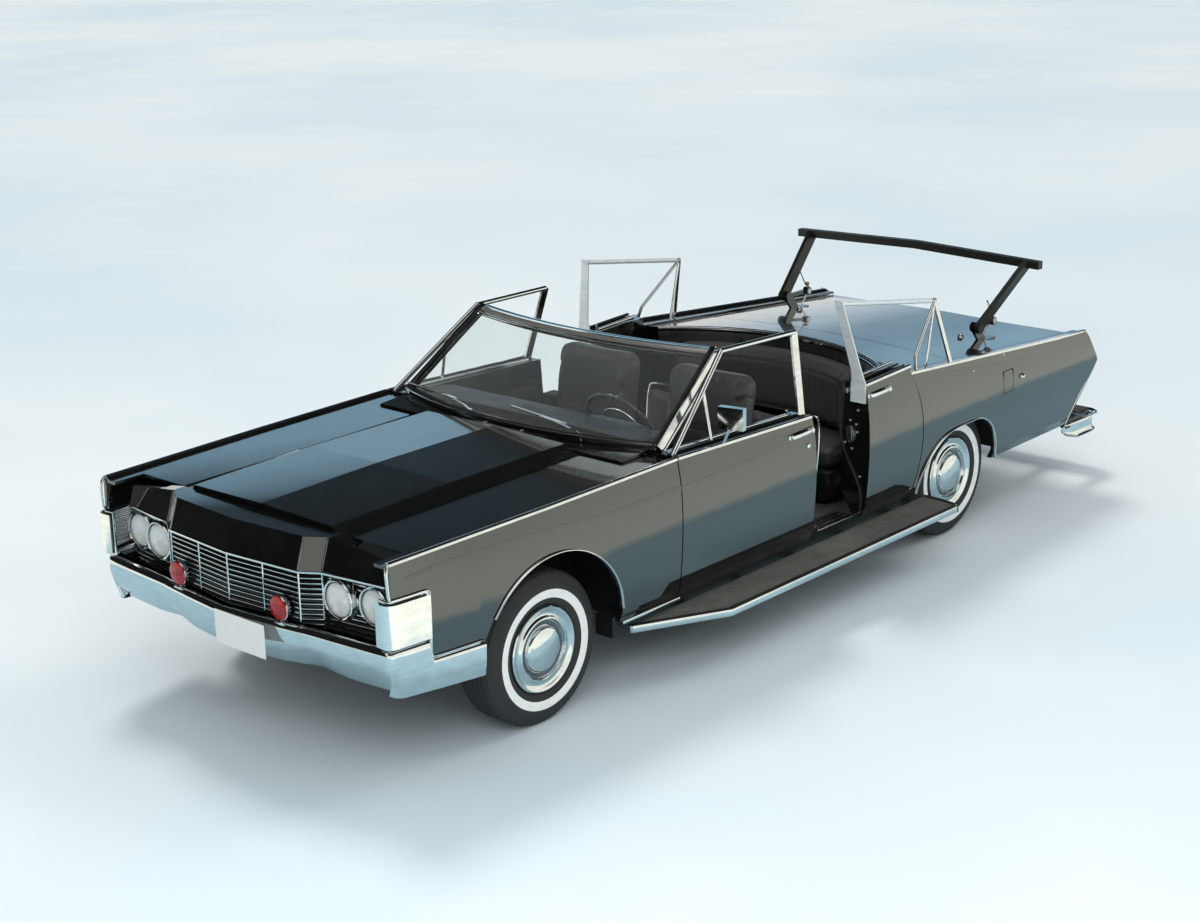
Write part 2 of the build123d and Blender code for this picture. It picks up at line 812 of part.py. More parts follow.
def tonneau():
    """Fixed deck behind the rear seat, with the cockpit's curved rear edge and an arm along each side."""
    stations = (rear_door_rear_x - 50, lid_front_x + shut_gap)
    shape = loft([deck_face(x, deck_half, deck_thick) for x in stations], ruled=True)
    edge, ahead, half = rear_door_rear_x, rear_door_rear_x + 500, cockpit_half
    cockpit = outline(ThreePointArc((edge, half, 0), (cockpit_rear_x, 0, 0), (edge, -half, 0)),
                      Polyline((edge, -half, 0), (ahead, -half, 0), (ahead, half, 0), (edge, half, 0)))
    return shape - extrude(cockpit, amount=2 * belt_quarter_z)


def deck_lid():
    """Long lid over the stowed roof and luggage, with a bracket for each handrail post."""
    stations = (lid_front_x, rear_axle_x - 700, lid_rear_x)
    shape = loft([deck_face(x, deck_half - shut_gap, deck_thick) for x in stations], ruled=True)
    for bracket in both(rail_bracket()):
        shape += bracket
    return shape


def tail_line_x(z):
    """The tail wall's outer face between its waist and its top edge."""
    return lerp(tail_waist_x + 24, tail_top_x + 10,
                (z - tail_waist_z) / (belt_tail_z - deck_drop - tail_waist_z))


def tail_panel():
    """Upright wall across the tail, with a shelf forward to the lid."""
    low = sill_z + 60
    top = belt_tail_z - shelf_drop - skin - 2
    wall_side = [(tail_line_x(top), top), (tail_line_x(tail_waist_z), tail_waist_z), (tail_low_x + 40, low),
                 (tail_low_x + 70, low), (tail_line_x(tail_waist_z) + 36, tail_waist_z),
                 (tail_line_x(top) + 36, top)]
    deck_z1 = belt_tail_z - deck_drop
    front = lid_rear_x - shut_gap
    shelf = [(front, deck_z(lid_rear_x)), (tail_line_x(deck_z1), deck_z1), (tail_line_x(top - 6), top - 6),
             (tail_line_x(top - 6) + 36, top - 6), (front, deck_z(lid_rear_x) - deck_thick)]
    half = belt_tail_y - wall - 4
    return prism_y(wall_side, -half, half) + prism_y(shelf, -deck_half, deck_half)


def tail_lamp():
    """Left lamp strip, standing on the tail wall."""
    low, high = tail_waist_z + 15, belt_tail_z - 44
    side = [(tail_line_x(low) - 1, low), (tail_line_x(high) - 1, high), (tail_line_x(high) - 16, high - 5),
            (tail_line_x(low) - 16, low - 5)]
    return prism_y(side, 0.38 * belt_tail_y, belt_tail_y - wall - 20)


def rail_bracket():
    """Foot and rearward arm that carry the left post's pivot, with the catch at the arm's end."""
    y = rail_pivot_y
    thick = rail_post_thick
    foot_z = deck_z(rail_foot_x) - deck_thick / 2
    ear = y - thick / 2 - ear_gap - ear_thick / 2
    shape = bar_between((rail_foot_x + 30, ear, foot_z), (rail_pivot_x, ear, rail_pivot_z), ear_width,
                        ear_thick)
    shape += rod_between((rail_pivot_x, ear + ear_thick / 2, rail_pivot_z),
                         (rail_pivot_x, ear - ear_thick, rail_pivot_z), ear_width / 2)
    shape += box(rail_foot_x - 50, rail_foot_x + 100, ear - 30, ear + 30, foot_z, deck_z(rail_foot_x) + 18)
    arm_end = rail_pivot_x - arm_length
    shape += box(arm_end, rail_pivot_x - 10, ear - ear_thick / 2, ear + ear_thick / 2, rail_pivot_z - 12,
                 rail_pivot_z + 12)
    shape += rod_between((arm_end, ear - 22, rail_pivot_z), (arm_end, ear + 12, rail_pivot_z), 24)
    return shape


def handrail():
    """Crowned square crossbar on two flat posts, each with a pivot pin at its foot."""
    x, z, rise, half = rail_pivot_x, rail_pivot_z, rail_crown, rail_bar / 2
    middle_x, middle_z = rail_bar_x - 6, rail_bar_z + rise
    shape = box(middle_x - half, middle_x + half, -6, 6, middle_z - half, middle_z + half)
    inner, outer = rail_pivot_y - rail_post_thick / 2, rail_pivot_y + rail_post_thick / 2
    for sign in (1, -1):
        shape += bar_between((rail_bar_x, sign * rail_bar_y, rail_bar_z), (middle_x, 0, middle_z), rail_bar,
                             rail_bar)
        head = (rail_bar_x, sign * rail_post_y, rail_bar_z + rise * (1 - rail_post_y / rail_bar_y) - 4)
        shape += bar_between((x, sign * rail_pivot_y, z), head, rail_post, rail_post_thick)
        shape += rod_between((x, sign * inner, z), (x, sign * (outer + 4), z), rail_post / 2)
        pin = (x, sign * (inner - ear_gap + loose / 2), z)
        shape += rod_between(pin, (x, sign * rail_pivot_y, z), pin_radius)
    return shape


# ---- Frames above the belt ----
def front_door_frame(door):
    """Frame of the left front door: sloping front leg, top rail, flat rear post and the vent's upright."""
    y = belt_y - slot_in - slot_width / 2
    radius = frame_bar / 2
    front_x = front_door_front_x - 24
    rear_x = front_door_rear_x + 24
    head = (screen_head_x - 6, screen_head_y + 44, screen_head_z - 6)
    rear = (front_frame_x, front_frame_y, front_frame_z)
    foot = belt_z(front_x)
    shape = tube_path([(front_x, y, foot - slot_depth - 1), (front_x, y, foot), head, rear], radius)
    top = belt_z(rear_x)
    shape += bar_between(rear, (rear_x, y, top), post_plate_width * 0.5, post_plate_thick + 4)
    shape += box(rear_x - post_plate_width / 4, rear_x + post_plate_width / 4, y - post_plate_thick,
                 y + post_plate_thick,
                 top - slot_depth - 1, top + 4)
    vent = tuple(lerp(a, b, 0.62) for a, b in zip((front_x, y, belt_z(front_x)), head))
    shape += rod_between(vent, (vent[0], y, belt_z(vent[0]) - slot_depth - 1), radius * 0.7)
    return largest(shape - door)


def largest(shape):
    return max(shape.solids(), key=lambda s: s.volume)


def mirror_piece():
    """Square door mirror on a bracket that stands on the left front door's belt."""
    x = front_door_front_x - mirror_back
    y = belt_y - 8
    z = belt_z(x)
    post = bar_between((x, y, z - 4), (x - 4, y + 40, z + 86), 26, 10)
    head = Pos(x - 6, y + 52, z + 128) * Rot(0, 0, 12) * Box(34, 128, 104)
    return post + head


def rear_door_frame():
    """Flat post on the left rear door's shut face, and the rail back to the quarter's frame."""
    top = Vector(rear_frame_x, rear_frame_y, rear_frame_z)
    foot_y = side_y(rear_door_front_x) - 40
    front = rear_door_front_x + post_plate_thick
    knee_z = belt_z(rear_door_front_x) + rear_door_rise
    low, high = foot_y - post_plate_width / 2, foot_y + post_plate_width / 2 - 4
    foot = box(rear_door_front_x, front, low, high, post_foot_z, knee_z)
    lean = (rear_frame_x - front) / (rear_frame_z - knee_z)

    def section(z, width, across):
        x, y = front + lean * (z - knee_z), foot_y + across
        back = x - post_plate_thick
        return plan_face([(x, y - width / 2), (x, y + width / 2), (back, y + width / 2),
                          (back, y - width / 2)], z)
    upper = loft([section(knee_z, post_plate_width - 8, 0), section(knee_z + 60, post_plate_width - 30, -6),
                  section(rear_frame_z, post_plate_top, rear_frame_y - foot_y)], ruled=True)
    end = Vector(triangle_x, triangle_y, triangle_z)
    stop = end + (top - end).normalized() * rail_stop
    rail = rod_between(tuple(top - Vector(0, 0, 14)), tuple(stop), frame_bar / 2)
    return foot + upper + rail


def quarter_frame(panel):
    """Three-legged frame that stands on the left quarter's belt and meets the rear door's rail."""
    top = (triangle_x, triangle_y, triangle_z)
    radius = triangle_rod
    seat_y = belt_y - crest_width + 6
    kink = (triangle_front_x - 20, seat_y - 18, triangle_kink_z)
    shape = tube_path([top, kink, (triangle_front_x, seat_y, belt_z(triangle_front_x) - 4)], radius)
    shape += tube_path([top, (triangle_rear_x, seat_y, belt_z(triangle_rear_x) - 4)], radius + 3)
    mid_x = lerp(triangle_front_x, triangle_rear_x, 0.62)
    shape += tube_path([top, (mid_x, seat_y - 3 * crest_width, belt_z(mid_x) - shelf_drop - 4)], radius - 2)
    return largest(shape + Pos(*top) * Sphere(radius + 5) - panel)


# ---- Boards and step ----
def running_board():
    """Left running board with a tapered front end, carried on brackets from the sill."""
    inner = sill_outer_y + board_gap + 30
    plan = [(board_front_x, inner), (board_front_x, inner + 8), (board_bend_x, board_outer_y),
            (board_rear_x, board_outer_y), (board_rear_x - 20, board_outer_y - 30),
            (board_rear_x - 30, inner)]
    under = board_top_z - board_thick
    shape = prism_z(plan, under, board_top_z)
    for i in range(board_brackets):
        x = lerp(board_bend_x, board_rear_x + 220, i / (board_brackets - 1))
        shape += box(x - 20, x + 20, sill_outer_y, board_outer_y - 60, under - bracket_deep, under)
    return shape


def rear_step():
    """Rear bumper lowered as a step: a flat-topped bar across the tail with ends that reach forward."""
    inner = step_half - step_end_wall
    end = [(step_in_x, inner), (step_in_x, step_half), (step_out_x + 60, step_half),
           (step_out_x, step_half - 70)]
    plan = end + [(x, -y) for x, y in reversed(end)]
    edge = step_out_x + step_tread
    hollow = [(step_in_x, inner), (edge, inner - 20), (edge, 20 - inner), (step_in_x, -inner)]
    shape = prism_z(plan, step_low_z, step_top_z) - prism_z(hollow, step_low_z - 1, step_top_z + 1)
    for side in both(box(step_in_x + step_arm_reach, edge - 40, step_arm_y - 25, step_arm_y + 25,
                         step_low_z + 20, step_top_z - 30)):
        shape += side
    return shape


# ---- Cabin ----
def dashboard():
    """Padded dash with a hooded instrument panel, across the cabin behind the cowl."""
    x = front_door_front_x
    top = screen_foot_z - dash_drop
    back, hood, roof = x - dash_depth, x - 0.76 * dash_depth, top - dash_hood_drop
    panel_z, low = top - dash_panel_z, top - dash_height
    side = [(x, top), (hood, roof), (back, top - 50), (back + 14, top - 110),
            (x - 0.72 * dash_depth, panel_z),
            (x - 0.6 * dash_depth, low), (x - 0.24 * dash_depth, low), (x, panel_z)]
    start, end = column_ends()
    return prism_y(side, -dash_half, dash_half) - rod_between(start, end, column_radius + shut_gap)


def column_ends():
    """The steering column's axis, from the wheel's centre down to just behind the firewall."""
    start = Vector(steer_wheel_x, front_seat_y, steer_wheel_z)
    length = (firewall_x - column_radius - steer_wheel_x) / cos(radians(steer_tilt))
    end = start + Vector(cos(radians(steer_tilt)), 0, -sin(radians(steer_tilt))) * length
    return tuple(start), tuple(end)


def steering_wheel():
    """Thin rim, hub, two spokes and the column down to the firewall."""
    start, end = column_ends()
    axis = Vector(*start) - Vector(*end)
    plane = Plane(origin=start, x_dir=(0, 1, 0), z_dir=axis)
    shape = plane * Torus(steer_wheel_radius, steer_rim_radius)
    shape += plane * Pos(0, 0, -10) * Cylinder(48, 34)
    for sign in (1, -1):
        shape += plane * Pos(sign * steer_wheel_radius / 2, -12, -4) * Box(steer_wheel_radius, 34, 9)
    return shape + rod_between(start, end, column_radius)


def front_seat(y):
    """High-backed front seat: base, cushion and back in one closed solid."""
    x, base, cushion, top = front_seat_x, floor_z, seat_base_z, front_seat_back_top
    front, fold, back = x + front_seat_reach, x - front_seat_fold, x - front_seat_lean
    side = [(front, base + 60), (front, cushion - 60), (front - 30, cushion), (fold, cushion - 20),
            (back + 125, top - 40), (back + 100, top), (back + 25, top), (back, top - 50),
            (back + 85, cushion - 120), (back + 115, base), (front - 60, base)]
    return prism_y(side, y - front_seat_half, y + front_seat_half)


def jump_seat(y):
    """Folding seat behind a front seat: cushion, low back and a bright hoop round it."""
    x, base, top, reach = jump_seat_x, floor_z, jump_seat_top, jump_seat_reach
    cushion = base + jump_seat_rise
    side = [(x + reach, base), (x + reach, cushion), (x - reach, cushion - 10), (x - reach - 60, top),
            (x - reach - 120, top), (x - reach - 80, base + 100), (x - reach + 20, base)]
    return prism_y(side, y - jump_seat_half, y + jump_seat_half)


def cockpit_arc():
    """Centre (on the X axis) and radius of the arc that closes the cockpit behind the rear seat."""
    rise = rear_door_rear_x - cockpit_rear_x
    radius = (cockpit_half ** 2 + rise ** 2) / (2 * rise)
    return cockpit_rear_x + radius, radius


def rear_seat():
    """Wide cushion over the heel step, and a back on the cockpit's arc with a bolster at each end."""
    x = rear_seat_x
    half = rear_floor_half - seat_gap
    lift = seat_gap / 2
    front, back = x + rear_seat_reach, x - rear_seat_depth
    side = [(front, floor_z + lift), (front, rear_cushion_z - 40), (front - 40, rear_cushion_z),
            (back, rear_cushion_z - 40), (back, rear_floor_z + lift), (heel_x + lift, rear_floor_z + lift),
            (heel_x + lift, floor_z + lift)]
    centre_x, radius = cockpit_arc()
    outer = radius - 3 * seat_gap
    low, high = rear_floor_z + lift, rear_back_z
    ring = Cylinder(outer, high - low) - Cylinder(outer - seat_back_thick, high - low)
    ring = Pos(centre_x, 0, (low + high) / 2) * ring
    back = ring & box(cockpit_rear_x, rear_door_rear_x + 100, -half, half, low, high)
    wide = rear_bolster_half
    bolster = ring & box(cockpit_rear_x, rear_door_rear_x + 60, -wide, wide, rear_bolster_z, high)
    cushion = prism_y(side, -half, half)
    room = tunnel_half + seat_gap
    cushion -= box(front + 10, heel_x - seat_gap, -room, room, 0, tunnel_top + seat_gap)
    return cushion + back + bolster


# ---- Running gear ----
def running_gear():
    """Rear axle with drums and differential, driveshaft, springs, front arms, cross-member and exhaust."""
    beam = box(-80, 80, 60 - apron_y, apron_y - 60, arm_low_z() - 40, arm_low_z())
    pieces = both(rear_spring()) + both(lower_arm()) + both(upper_arm())
    return pieces + [rear_axle(), drive_shaft(), beam, exhaust()]


def rear_axle():
    """Axle tube and differential, with a stub and a brake drum at each end."""
    x, z = rear_axle_x, hub_height
    tube_end = track_half - rim_width / 2 - 30
    axle = rod_between((x, -tube_end, z), (x, tube_end, z), axle_tube_radius)
    axle += Pos(x, 0, z) * Sphere(3 * axle_tube_radius)
    for sign in (1, -1):
        start = (x, sign * tube_end, z)
        axle += rod_between(start, (x, sign * (track_half + stub_end), z), stub_radius)
        axle += rod_between(start, (x, sign * (track_half + drum_end), z), drum_radius)
    return axle


def drive_shaft():
    """Shaft from the differential forward to the gearbox."""
    differential_x = rear_axle_x + 3 * axle_tube_radius + loose
    return rod_between((differential_x, 0, hub_height - 14), (firewall_x - 60, 0, floor_z + 30),
                       shaft_radius)


def rear_spring():
    """Left leaf spring under the axle, with a hanger at each end."""
    top = hub_height - axle_tube_radius - loose
    low = top - spring_deep
    front, back = heel_x - 2 * floor_thick, rear_axle_x - spring_reach
    spring = box(back, front, spring_y - 30, spring_y + 30, low, top)
    for end in (back, front - 40):
        spring += box(end, end + 40, spring_y - 20, spring_y + 20, low, rear_floor_z - floor_thick - loose)
    return spring


def arm_low_z():
    return hub_height - knuckle_half - arm_clearance - arm_low_thick


def lower_arm():
    """Left lower arm, from the cross-member out under the knuckle."""
    return box(-45, 45, apron_y - 120, kingpin_y + 18, arm_low_z(), arm_low_z() + arm_low_thick)


def upper_arm():
    """Left upper arm, from the front rail out over the knuckle."""
    low = hub_height + knuckle_half + arm_clearance
    return box(-32, 32, apron_y + floor_thick, kingpin_y + 18, low, low + arm_high_thick)


def exhaust():
    """Straight pipe from the engine to the tail, with a muffler near its end."""
    intake, tip = (firewall_x + 120, -250, 200), (tail_low_x - 60, -330, 215)
    near, far = (tuple(lerp(a, b, t) for a, b in zip(intake, tip)) for t in (0.86, 0.95))
    muffler = rod_between(near, far, muffler_radius) + rod_between(far, tip, pipe_radius)
    return rod_between(intake, near, pipe_radius) + muffler


def knuckle(sign):
    """Upright on the kingpin axis with the stub axle that carries a front wheel."""
    z = hub_height
    pin = Pos(0, sign * kingpin_y, z) * Cylinder(kingpin_radius, 2 * knuckle_half)
    stub = rod_between((0, sign * kingpin_y, z), (0, sign * (track_half + stub_end), z), stub_radius)
    drum_start = (0, sign * (kingpin_y + kingpin_radius + seat_gap + 4), z)
    return pin + stub + rod_between(drum_start, (0, sign * (track_half + drum_end), z), drum_radius)


def wheel(x, sign):
    """Rim, disc and domed cover as one turned piece, with a blind bore over the stub axle."""
    bore = stub_radius + stub_gap
    half = rim_width / 2
    r = rim_radius
    face = tyre_width / 2 + cover_stand_out
    profile = [(-half, r), (half, r), (half, r - 10), (half + 6, r - 2), (half + 12, r - 4),
               (face - 10, r - 30),
               (face - 14, r - 52), (face - 4, r - 60), (face - 8, r - 72), (face, 60), (face + 4, 0),
               (disc_in + 30, 0), (disc_in + 30, bore), (disc_in, bore), (disc_in, r - 22), (-half, r - 12)]
    return turned(profile, (x, sign * track_half, hub_height), (0, sign, 0))


def tyre(x, sign):
    """Tyre with rounded shoulders, seated on the rim."""
    w, half, r = tyre_width / 2, rim_width / 2, tyre_radius
    wide = lerp(rim_radius, r, 0.48)
    tread = w - tyre_shoulder
    edges = [Line((-half, rim_radius), (half, rim_radius)),
             ThreePointArc((half, rim_radius), (w, wide), (w - 22, r - 16)),
             ThreePointArc((w - 22, r - 16), (w - 28, r - 5), (tread, r)),
             Line((tread, r), (-tread, r)),
             ThreePointArc((-tread, r), (28 - w, r - 5), (22 - w, r - 16)),
             ThreePointArc((22 - w, r - 16), (-w, wide), (-half, rim_radius))]
    origin = (x, sign * track_half, hub_height)
    plane = Plane(origin=origin, x_dir=(0, 1, 0), z_dir=(1, 0, 0))
    return revolve(plane * outline(*edges), axis=Axis(origin, (0, 1, 0)))


def number_plate():
    x = bumper_x + plate_stand_off
    half, rise = plate_width / 2, plate_height / 2
    return box(x, x + plate_thick, plate_y - half, plate_y + half, plate_z - rise, plate_z + rise)


def engine_block():
    reach, half = engine_length / 2, engine_width / 2
    return box(engine_x - reach, engine_x + reach, -half, half, arm_low_z(), engine_high_z)


def body_panels():
    """Adds the fenders, nose, bonnet, glass, decks and tail."""
    quarter = quarter_panel()
    add("front_fenders", both(front_fender()))
    add("front_fenders", header_panel())
    add("quarter_panels", both(quarter))
    add("underbody", underbody())
    add("grille", grille())
    for x, y in headlamp_places():
        add("front_lamps", both(headlamp(x, y)))
    add("front_lamps", both(corner_lamp()))
    add("front_bumper", front_bumper())
    add("warning_lamps", [warning_lamp(y) for y in (warning_lamp_y, -warning_lamp_y)])
    add("number_plate", number_plate())
    add("hood", hood())
    add("cowl", cowl())
    add("windscreen_frame", windscreen_frame())
    add("windscreen_glass", windscreen_glass())
    add("tonneau", tonneau())
    add("deck_lid", deck_lid())
    add("tail_panel", tail_panel())
    add("tail_panel", both(tail_lamp()))
    add("handrail", handrail())
    add("quarter_frames", both(quarter_frame(quarter)))
    add("running_boards", both(running_board()))
    add("rear_step", rear_step())


def doors():
    """Adds the four doors, the frames above them and the mirror on the left front door."""
    door = front_door()
    pieces = {"door_front": door, "frame_front": front_door_frame(door), "door_rear": rear_door(),
              "frame_rear": rear_door_frame()}
    for node, shape in pieces.items():
        for side, piece in zip(("left", "right"), both(shape)):
            add(f"{node}_{side}", piece)
    add("frame_front_left", mirror_piece() - door)


def cabin():
    """Adds the dash, the steering wheel and the three rows of seats."""
    add("dashboard", dashboard())
    add("steering_wheel", steering_wheel())
    add("front_seats", [front_seat(y) for y in (front_seat_y, -front_seat_y)])
    add("jump_seats", [jump_seat(y) for y in (jump_seat_y, -jump_seat_y)])
    add("rear_seat", rear_seat())


def chassis():
    """Adds the engine, the running gear, the knuckles and the four wheels with their tyres."""
    add("engine_block", engine_block())
    add("running_gear", running_gear())
    for side, sign in (("left", 1), ("right", -1)):
        add(f"knuckle_{side}", knuckle(sign))
        for end, x in (("front", 0), ("rear", rear_axle_x)):
            add(f"wheel_{end}_{side}", wheel(x, sign))
            add(f"tyre_{end}_{side}", tyre(x, sign))


def export_parts():
    """Writes one file per node, with the origin on the floor under the middle of the whole vehicle."""
    os.makedirs("parts", exist_ok=True)
    nose_x = bumper_x + plate_stand_off + plate_thick
    shift = Location((-(nose_x + step_out_x) / 2, 0, 0))
    for node, solids in PARTS.items():
        shape = solids[0] if len(solids) == 1 else Compound(children=solids)
        export_step(shape.moved(shift), f"parts/{node}.step")


doors()
body_panels()
cabin()
chassis()
export_parts()
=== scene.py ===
"""Finishes and detail pieces for the open escort limousine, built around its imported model."""
import math

import bmesh
import bpy
import numpy as np
from bpy.props import FloatProperty, FloatVectorProperty, PointerProperty
from mathutils import Matrix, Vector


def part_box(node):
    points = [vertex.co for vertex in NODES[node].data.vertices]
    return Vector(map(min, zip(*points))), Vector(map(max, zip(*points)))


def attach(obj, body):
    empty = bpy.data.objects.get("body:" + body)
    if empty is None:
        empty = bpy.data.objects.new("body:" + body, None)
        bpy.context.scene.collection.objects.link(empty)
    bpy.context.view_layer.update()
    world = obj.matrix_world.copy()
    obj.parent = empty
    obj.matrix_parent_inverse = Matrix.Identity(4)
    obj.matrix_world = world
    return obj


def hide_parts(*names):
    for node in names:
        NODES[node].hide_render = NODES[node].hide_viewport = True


bl_info = {
    "name": "Open escort limousine",
    "version": (1, 0, 0),
    "blender": (4, 5, 0),
    "location": "View3D > Sidebar > Limousine",
    "description": "Builds the trim, lamps, wheels, cabin and finishes of an open escort limousine",
    "category": "Object",
}

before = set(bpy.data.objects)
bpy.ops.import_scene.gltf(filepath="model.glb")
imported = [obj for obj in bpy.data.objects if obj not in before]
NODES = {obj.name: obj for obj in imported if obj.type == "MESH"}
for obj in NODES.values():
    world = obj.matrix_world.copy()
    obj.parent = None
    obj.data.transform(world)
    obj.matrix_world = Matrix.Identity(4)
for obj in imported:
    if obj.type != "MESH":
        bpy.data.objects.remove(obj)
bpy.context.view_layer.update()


def middle(node):
    """Centre of a node's box at rest."""
    low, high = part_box(node)
    return np.array([(a + b) / 2 for a, b in zip(low, high)])


FRONT_AXLE = middle("wheel_front_left")[0]
WHEELBASE = (FRONT_AXLE - middle("wheel_rear_left")[0]) * 1000
HUB = middle("wheel_front_left")[2] * 1000
TRACK = middle("wheel_front_left")[1] * 1000
DECK_HALF = NOSE_HALF = 838
DOOR_EDGE, SHUT_X = -835, -2299
LAMP_Z, LAMPS = 766, ((878, 588), (845, 767))


# ---- Surfaces: points in millimetres from the front axle (X forward, Y left, Z up) ----
def lattice(n, m, wrap_n=False, wrap_m=False):
    """Quads of an n by m grid of points stored row by row, as one array; a wrapped side joins its last row
    to its first."""
    i = np.arange(n if wrap_n else n - 1)
    j = np.arange(m if wrap_m else m - 1)
    i, j = (a.ravel() for a in np.meshgrid(i, j, indexing="ij"))
    i2, j2 = (i + 1) % n, (j + 1) % m
    return np.stack([i * m + j, i2 * m + j, i2 * m + j2, i * m + j2], 1)


def skin(points, wrap_n=False, wrap_m=False, caps=False):
    """A grid of points (n, m, 3) as vertices and faces, with a face over each end ring where caps is set."""
    n, m = points.shape[:2]
    faces = lattice(n, m, wrap_n, wrap_m).tolist()
    if caps:
        faces += [list(range(m)), list(range(n * m - 1, (n - 1) * m - 1, -1))]
    return points.reshape(-1, 3), faces


def joined(parts):
    """Several (vertices, faces) as one pair, by adding each part's vertex count to the next one's indices."""
    verts, faces, start = [], [], 0
    for v, f in parts:
        verts.append(v)
        faces += [[i + start for i in face] for face in f]
        start += len(v)
    return np.concatenate(verts), faces


def mirrored(part):
    """The part's mirror image in Y, with its faces turned round so that they still point outwards."""
    v, f = part
    return v * (1, -1, 1), [face[::-1] for face in f]


def pair(part):
    """A part and its mirror image."""
    return [part, mirrored(part)]


SIDES = (("left", 1), ("right", -1))


def on_side(parts, sign):
    """Parts made for the left side, mirrored where sign says the right one."""
    return parts if sign > 0 else [mirrored(part) for part in parts]


def sheet(x, y, z):
    """Points of a grid whose coordinates are spread over its rows and columns."""
    return np.stack(np.broadcast_arrays(x, y, z), -1)


def unit(v):
    """Vectors of length 1 along the last axis."""
    return v / np.maximum(np.linalg.norm(v, axis=-1, keepdims=True), 1e-9)


def smooth_path(points, steps):
    """A curve through the points: each span is a Catmull-Rom cubic in the chord length, sampled steps
    times."""
    p = np.asarray(points, float)
    p = np.vstack([2 * p[0] - p[1], p, 2 * p[-1] - p[-2]])
    t = np.linspace(0, 1, steps, endpoint=False)[:, None]
    spans = [0.5 * (2 * b + (c - a) * t + (2 * a - 5 * b + 4 * c - d) * t ** 2
                    + (3 * b - a - 3 * c + d) * t ** 3)
             for a, b, c, d in zip(p, p[1:], p[2:], p[3:])]
    return np.vstack(spans + [p[-2:-1]])


def carried(path, profile, up=(0, 0, 1), closed=False, scale=None):
    """A closed profile (across, up) carried along a path: at each point the section stands square to the
    path, with its across direction level, and scale, one number a point, makes it larger or smaller."""
    path, profile = np.asarray(path, float), np.asarray(profile, float)
    along = np.roll(path, -1, 0) - np.roll(path, 1, 0) if closed else np.gradient(path, axis=0)
    along = unit(along)
    across = unit(np.cross(np.broadcast_to(np.asarray(up, float), along.shape), along))
    rise = np.cross(along, across)
    size = np.ones(len(path)) if scale is None else np.asarray(scale, float)
    points = (path[:, None] + (profile[:, 0] * size[:, None])[..., None] * across[:, None]
              + (profile[:, 1] * size[:, None])[..., None] * rise[:, None])
    return skin(points, wrap_n=closed, wrap_m=True, caps=not closed)


def ring(radius, count=12, squash=1.0):
    """Points of a circle, or of an ellipse where squash is the ratio of its height to its width."""
    a = np.linspace(0, 2 * math.pi, count, endpoint=False)
    return np.stack([radius * np.cos(a), radius * squash * np.sin(a)], 1)


def rounded(width, height, radius, count=3):
    """A rectangle's outline with its corners turned by quarter circles."""
    a = np.linspace(0, math.pi / 2, count)
    corners = [(width / 2 - radius, height / 2 - radius, 0), (radius - width / 2, height / 2 - radius, 1),
               (radius - width / 2, radius - height / 2, 2), (width / 2 - radius, radius - height / 2, 3)]
    return np.vstack([np.stack([x + radius * np.cos(a + q * math.pi / 2),
                                y + radius * np.sin(a + q * math.pi / 2)], 1)
                      for x, y, q in corners])


def turned(profile, centre, axis=(0, 1, 0), count=48, warp=None):
    """A profile (along the axis, radius) turned round an axis through centre; a zero radius at either end
    closes it. warp takes the angles, heights and radii and gives the heights and radii back changed."""
    axis = unit(np.asarray(axis, float))
    first = unit(np.cross(axis, (0, 0, 1) if abs(axis[2]) < 0.9 else (1, 0, 0)))
    second = np.cross(axis, first)
    profile = np.asarray(profile, float)
    a = np.linspace(0, 2 * math.pi, count, endpoint=False)
    h, r = (np.broadcast_to(column, (count, len(profile))) for column in profile.T)
    if warp is not None:
        h, r = warp(a[:, None], h, r)
    out = np.cos(a)[:, None, None] * first + np.sin(a)[:, None, None] * second
    points = np.asarray(centre, float) + h[..., None] * axis + r[..., None] * out
    return skin(points, wrap_n=True)


def rod(a, b, radius, count=12, end=None):
    """A round bar from a to b, or a cone where end gives another radius there."""
    a, b = np.asarray(a, float), np.asarray(b, float)
    up = (0, 0, 1) if abs(unit(b - a)[2]) < 0.9 else (1, 0, 0)
    return carried([a, b], ring(radius, count), up, scale=(1, (radius if end is None else end) / radius))


def slab(low, high):
    """A box with softly rounded edges and corners: the surface of a sphere stretched by a power law towards
    the box."""
    low, high = np.asarray(low, float), np.asarray(high, float)
    return bulged((low + high) / 2, (high - low) / 2)


def bulged(centre, half, power=6, across=20, down=14):
    """A superellipsoid on a grid of longitude and latitude: each direction's cosines are raised to a low
    power, so that the form fills its box, and its poles are closed by a small cap."""
    u = np.linspace(-math.pi, math.pi, across, endpoint=False)
    v = np.linspace(-math.pi / 2 + 0.02, math.pi / 2 - 0.02, down)
    def part(x):
        return np.sign(x) * np.abs(x) ** (2 / power)
    x = part(np.cos(v))[:, None] * part(np.cos(u))
    y = part(np.cos(v))[:, None] * part(np.sin(u))
    z = np.broadcast_to(part(np.sin(v))[:, None], x.shape)
    return skin(np.stack([x, y, z], -1) * np.asarray(half, float) + np.asarray(centre, float), wrap_m=True,
                caps=True)


def bar(a, b, width, depth, radius=2.0):
    """A flat bar from a to b with rounded edges."""
    return carried([a, b], rounded(width, depth, min(radius, width / 2.01, depth / 2.01)))


def table(x, rows):
    """Value at x, or at each of an array's, of a line through (x, value) rows given from front to rear."""
    xs, values = np.array(rows, float).T
    return np.interp(x, xs[::-1], values[::-1])


def belt_z(x):
    """Height of the body's belt line at station x."""
    return table(x, [(905, 1003), (-835, 1020), (-1850, 985), (-2700, 1020), (-4540, 872)])


def side_y(x):
    """How far out the belt line stands at station x."""
    return table(x, [(905, 930), (0, 954), (-835, 958), (-2700, 958), (-4540, 928)])


